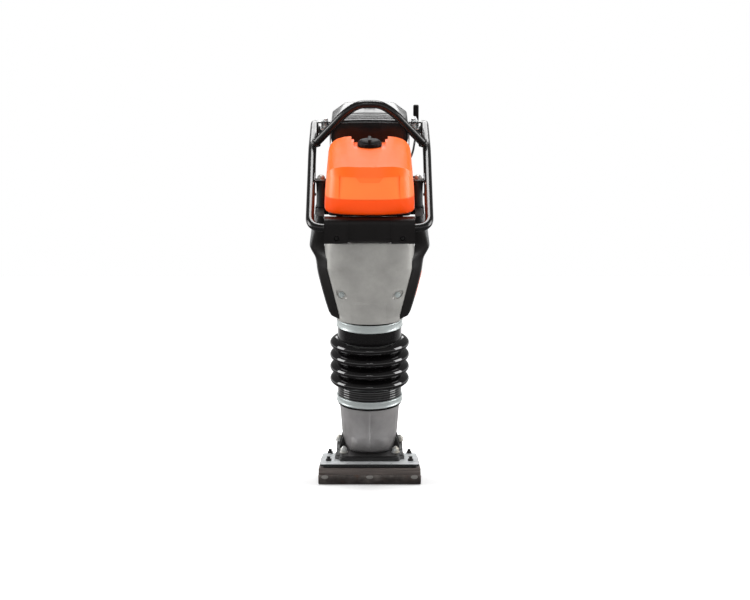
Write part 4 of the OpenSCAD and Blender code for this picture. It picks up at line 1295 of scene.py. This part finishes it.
lever_parts = []
paddle = prism("paddle", soft_rect(126, 142, 957, 991, 4.5), 405, 415, "v")
stem = prism("lever_stem", soft_rect(134.6, 142, 920, 963, 2), 405.5, 414.5, "v")
PIVOT = (0, 410, 924)
hub_profile = ring_bevel([(0.3, 134), (13, 134), (13, 142), (0.3, 142)], 1.2, 3)
hub = turned("lever_hub", hub_profile, 48, axis="x", centre=PIVOT)
pin_profile = ring_bevel([(0.3, 132.6), (4.5, 132.6), (4.5, 143.4), (0.3, 143.4)], 0.8, 2)
pin = turned("lever_pin", pin_profile, 32, axis="x", centre=PIVOT)
soften(paddle, 3.0, 3, 40)
soften(stem, 1.5, 3, 40)
for piece in (paddle, stem, hub, pin):
    clad(piece, "zinc" if piece is pin else "black_plastic")
lever = join("throttle_paddle", paddle, stem, hub, pin)
finish(lever, None, "throttle", ["throttle_lever"])

CABLE = [(136, 398, 916), (130, 350, 898), (124, 290, 880), (118, 245, 874), (112, 216, 870)]
cable_path = even(route(CABLE, 24, 8), 10, closed=False)
cable = shade(tube("throttle_cable_piece", cable_path, 3.0, 16), 60)
cable.data.materials.append(MAT["buffer_rubber"])
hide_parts("throttle_cable")
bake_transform(cable)

# ---------------------------------------------------------------- isolators

for side in (1, -1):
    name = "right" if side > 0 else "left"
    foot = [(5.4, 0), (15, 0), (15, 3.8), (14, 4.8), (13.2, 17.8)]
    profile = [(r, 768.2 + h) for r, h in foot] + [(13, 803)] + [(r, 837.8 - h) for r, h in foot[::-1]]
    profile = ring_bevel(profile, 1.2, 3)
    column = (side * COLUMN_X, COLUMN_V, 0)
    pillar = shade(turned(f"front_isolator_{name}", profile, 72, centre=column, closed=True), 45)
    pillar.data.materials.append(MAT["buffer_rubber"])
    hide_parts("front_buffers")
    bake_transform(pillar)
    profile = [(0.4, 942.1), (11, 942.1), (11, 946), (10.2, 949.5), (11, 953), (11, 956.9), (0.4, 956.9)]
    profile = ring_bevel(profile, 0.9, 3)
    buffer = shade(turned(f"rear_isolator_{name}", profile, 64, centre=(side * REAR_X, REAR_V, 0)), 45)
    buffer.data.materials.append(MAT["buffer_light"])
    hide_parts("rear_buffers")
    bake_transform(buffer)

beam_parts = []
bar = prism("beam_bar", soft_rect(-150, 150, 54, 84, 6), 762, 768, "w")
cut(bar, *[prism(f"beam_hole_{i}", circle(i * COLUMN_X, COLUMN_V, 5.2), 755, 775, "w") for i in (1, -1)])
beam_parts.append(bar)
beam_parts.append(prism("beam_seat", soft_rect(-44, 44, 58, 84, 3), 753, 762.5, "w"))
for side in (1, -1):
    beam_parts.append(prism("beam_web", on_side(side, soft_rect(60, 150, 748, 763, 3)), 54, 58, "v"))
for piece in beam_parts:
    painted(soften(piece, 0.9, 2, 40))
finish(join("isolator_beam", *beam_parts), None, "root", ["mount_beam"])

# One bent strip: foot on the crankcase, upright, shelf under the rubber
strip_under = [(110, 884), (88, 884), (88, 888), (106, 888), (110, 892), (110, 938)]
strip_over = [(114, 942), (140, 942), (140, 938), (118, 938), (114, 934), (114, 888)]
bracket_parts = []
for side in (1, -1):
    piece = prism("rear_bracket", on_side(side, strip_under + strip_over), 300, 330, "v")
    bracket_parts.append(clad(soften(piece, 1.2, 2, 30), "zinc"))
finish(join("rear_bracket_piece", *bracket_parts), None, "root", ["rear_brackets"])

# ---------------------------------------------------------------- engine details and small parts

nuts = []
for side in (1, -1):
    nuts.append(washer("guard_washer", side * 76, -85.6, 558, 8, 1.4, axis="v"))
    nuts.append(hexagon("guard_bolt", side * 76, -87.0, 558, 6.0, 4.6, axis="v"))
    for w in (628, 736):
        nuts.append(hexagon("block_bolt", side * 62, 112, w, 6, 4.4, axis="v"))
nuts.append(washer("hood_washer", 0, 330, 1000.2, 11, 1.6))
nuts.append(hexagon("hood_nut", 0, 330, 1001.8, 8.4, 5.4))
half_wing = [(5, 1005), (9, 1008), (15, 1010), (17, 1003), (6, 1002)]
wing_outline = half_wing + [(-x, w) for x, w in half_wing[::-1]]
wing = prism("hood_wing", wing_outline, 328.5, 331.5, "v")
nuts.append(shade(soften(wing, 0.8), 40))
for piece in nuts:
    piece.data.materials.append(MAT["clamp_steel"] if piece.name.startswith("guard_") else MAT["zinc"])
finish(join("case_bolts", *nuts), None, "root", ["housing_bolts"])

HOSE = [(123, 96, 846), (122, 104, 826), (112, 130, 812), (98, 168, 820), (96, 178, 835)]
hose_path = route(HOSE, 18, 10)
hose = shade(tube("fuel_line", hose_path, 4.0, 20, up=(1, 0, 0.2)), 60)
finish(hose, MAT["buffer_rubber"], "root", ["fuel_hose"])

ROPE_X = 52
ROPE_W = 734
pull = prism("pull_bar", soft_rect(346, 362, 726, 742, 6, 6), 28, 76, "x")
soften(pull, 3.5, 4, 50)
stub_profile = ring_bevel([(2.6, 340.5), (6, 340.5), (6, 347), (2.6, 347)], 1.0, 3)
stub = turned("pull_neck", stub_profile, 32, axis="v", centre=(ROPE_X, 0, ROPE_W))
for piece in (pull, stub):
    clad(piece, "buffer_rubber", 50)
finish(join("pull_grip", pull, stub), None, "starter", ["starter_grip"])


def rope(v0, v1, steps=24):
    """Four strands twisted once round between two places behind the engine."""
    rings = []
    for k in range(steps + 1):
        v = v0 + (v1 - v0) * k / steps
        ring = []
        for j in range(24):
            a = 2 * math.pi * j / 24
            r = 2.2 + 0.3 * math.cos(4 * (a - 2 * math.pi * k / steps))
            ring.append((ROPE_X + r * math.cos(a), v, ROPE_W + r * math.sin(a)))
        rings.append(ring)
    return loft("starter_rope", rings)


cord = shade(rope(316, 344), 60)
cord.data.materials.append(MAT["friction_lining"])
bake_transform(cord)

choke = prism("choke_tab", soft_rect(191.5, 200.5, 838, 868, 3), 112.6, 117, "x")
boss_profile = ring_bevel([(0.3, 112.6), (9, 112.6), (9, 117), (0.3, 117)], 1, 3)
boss = turned("choke_boss", boss_profile, 40, axis="x", centre=(0, 196, 866))
soften(choke, 1.2, 3, 40)
for piece in (choke, boss):
    clad(piece, "black_plastic")
finish(join("choke_piece", choke, boss), None, "choke", ["choke_lever"])

# ---------------------------------------------------------------- finishes of the CAD nodes that are shown

SLOTS = {s["node"]: s["material_slot"] for s in frame["record"]["subparts"]}
for name, node in frame["nodes"].items():
    if node.hide_render:
        continue
    node.data.materials.clear()
    node.data.materials.append(MAT[SLOTS[name]])
    weld = node.modifiers.new("weld", "WELD")
    weld.merge_threshold = 1e-5
    soften(node, 0.7, 2, 38)
    node.modifiers["edges"].harden_normals = True
    for poly in node.data.polygons:
        poly.use_smooth = True

# ---------------------------------------------------------------- floor, light and camera

floor = bpy.data.meshes.new("floor")
floor.from_pydata([(-90, -90, 0), (90, -90, 0), (90, 90, 0), (-90, 90, 0)], [], [(0, 1, 2, 3)])
ground = bpy.data.objects.new("floor", floor)
bpy.context.scene.collection.objects.link(ground)
n = Nodes("pale_floor")
# The floor turns into an even white sweep away from the machine
away = n.add("ShaderNodeVectorMath", operation="LENGTH")
n.link(n.coords, away.inputs[0])
sweep = n.add("ShaderNodeMapRange", interpolation_type="SMOOTHSTEP")
for key, value in {"From Min": 0.16, "From Max": 0.85, "To Min": 0.22, "To Max": 1.0}.items():
    sweep.inputs[key].default_value = value
n.link(away.outputs["Value"], sweep.inputs["Value"])
n.set(
    Base_Color=n.mix(n.noise(3.0, 2.0), (0.84, 0.84, 0.84), (0.87, 0.87, 0.87)),
    Roughness=0.8,
    Emission_Color=(1.0, 1.0, 1.0),
    Emission_Strength=sweep.outputs["Result"],
)
floor.materials.append(n.material)

world = bpy.data.worlds.new("studio")
bpy.context.scene.world = world
world.use_nodes = True
sky = world.node_tree
direction = sky.nodes.new("ShaderNodeTexCoord")
split = sky.nodes.new("ShaderNodeSeparateXYZ")
height = sky.nodes.new("ShaderNodeValToRGB")
# Dark below the floor's edge, an even white band behind the machine, dim overhead
stops = [(0.0, 0.08), (0.38, 0.12), (0.45, 0.5), (0.47, 1.0), (0.572, 1.0), (0.62, 0.2), (1.0, 0.12)]
while len(height.color_ramp.elements) < len(stops):
    height.color_ramp.elements.new(0.5)
for element, (at, value) in zip(height.color_ramp.elements, stops):
    element.position = at
    element.color = (value, value, value, 1)
lift = sky.nodes.new("ShaderNodeMapRange")
lift.inputs["From Min"].default_value = -1.0
lift.inputs["From Max"].default_value = 1.0
sky.links.new(direction.outputs["Generated"], split.inputs["Vector"])
sky.links.new(split.outputs["Z"], lift.inputs["Value"])
sky.links.new(lift.outputs["Result"], height.inputs["Fac"])
sky.links.new(height.outputs["Color"], sky.nodes["Background"].inputs["Color"])


def panel(name, at, look, size, power, height=None):
    light = bpy.data.lights.new(name, "AREA")
    light.shape = "RECTANGLE"
    light.size = size
    light.size_y = height or size
    light.energy = power
    lamp = bpy.data.objects.new(name, light)
    lamp.location = at
    lamp.rotation_euler = (Vector(look) - Vector(at)).to_track_quat("-Z", "Y").to_euler()
    bpy.context.scene.collection.objects.link(lamp)
    return lamp


panel("left_box", (-2.3, -0.1, 1.1), (0, 0, 0.6), 1.1, 42, 1.6)
panel("right_box", (2.3, -0.1, 1.1), (0, 0, 0.6), 1.1, 40, 1.6)
panel("top_box", (0, 0.3, 3.2), (0, 0.1, 0.6), 1.5, 72)
panel("back_box", (0, 3.4, 2.9), (0, 0.2, 0.9), 2.4, 34, 1.3)
fill = panel("front_fill", (0.1, -4.4, 2.6), (0, 0, 0.6), 0.9, 20)
# A thin strip gives the smooth folds and tubes a crisp line of light
panel("front_strip", (0.0, -4.3, 2.7), (0, 0, 0.6), 1.2, 9, 0.15)
# Black flags keep the fill and the floor out of the glossy faces turned to the camera
fill.visible_glossy = False
ground.visible_glossy = False

camera = bpy.data.cameras.new("camera")
camera.lens = 97.15
camera.sensor_width = 36
eye = bpy.data.objects.new("camera", camera)
eye.location = (0, -5.67, 0.600)
eye.rotation_euler = (math.radians(90 - 0.9992), 0, -math.radians(0.153))
bpy.context.scene.collection.objects.link(eye)
bpy.context.scene.camera = eye
bpy.context.scene.view_settings.view_transform = "Standard"
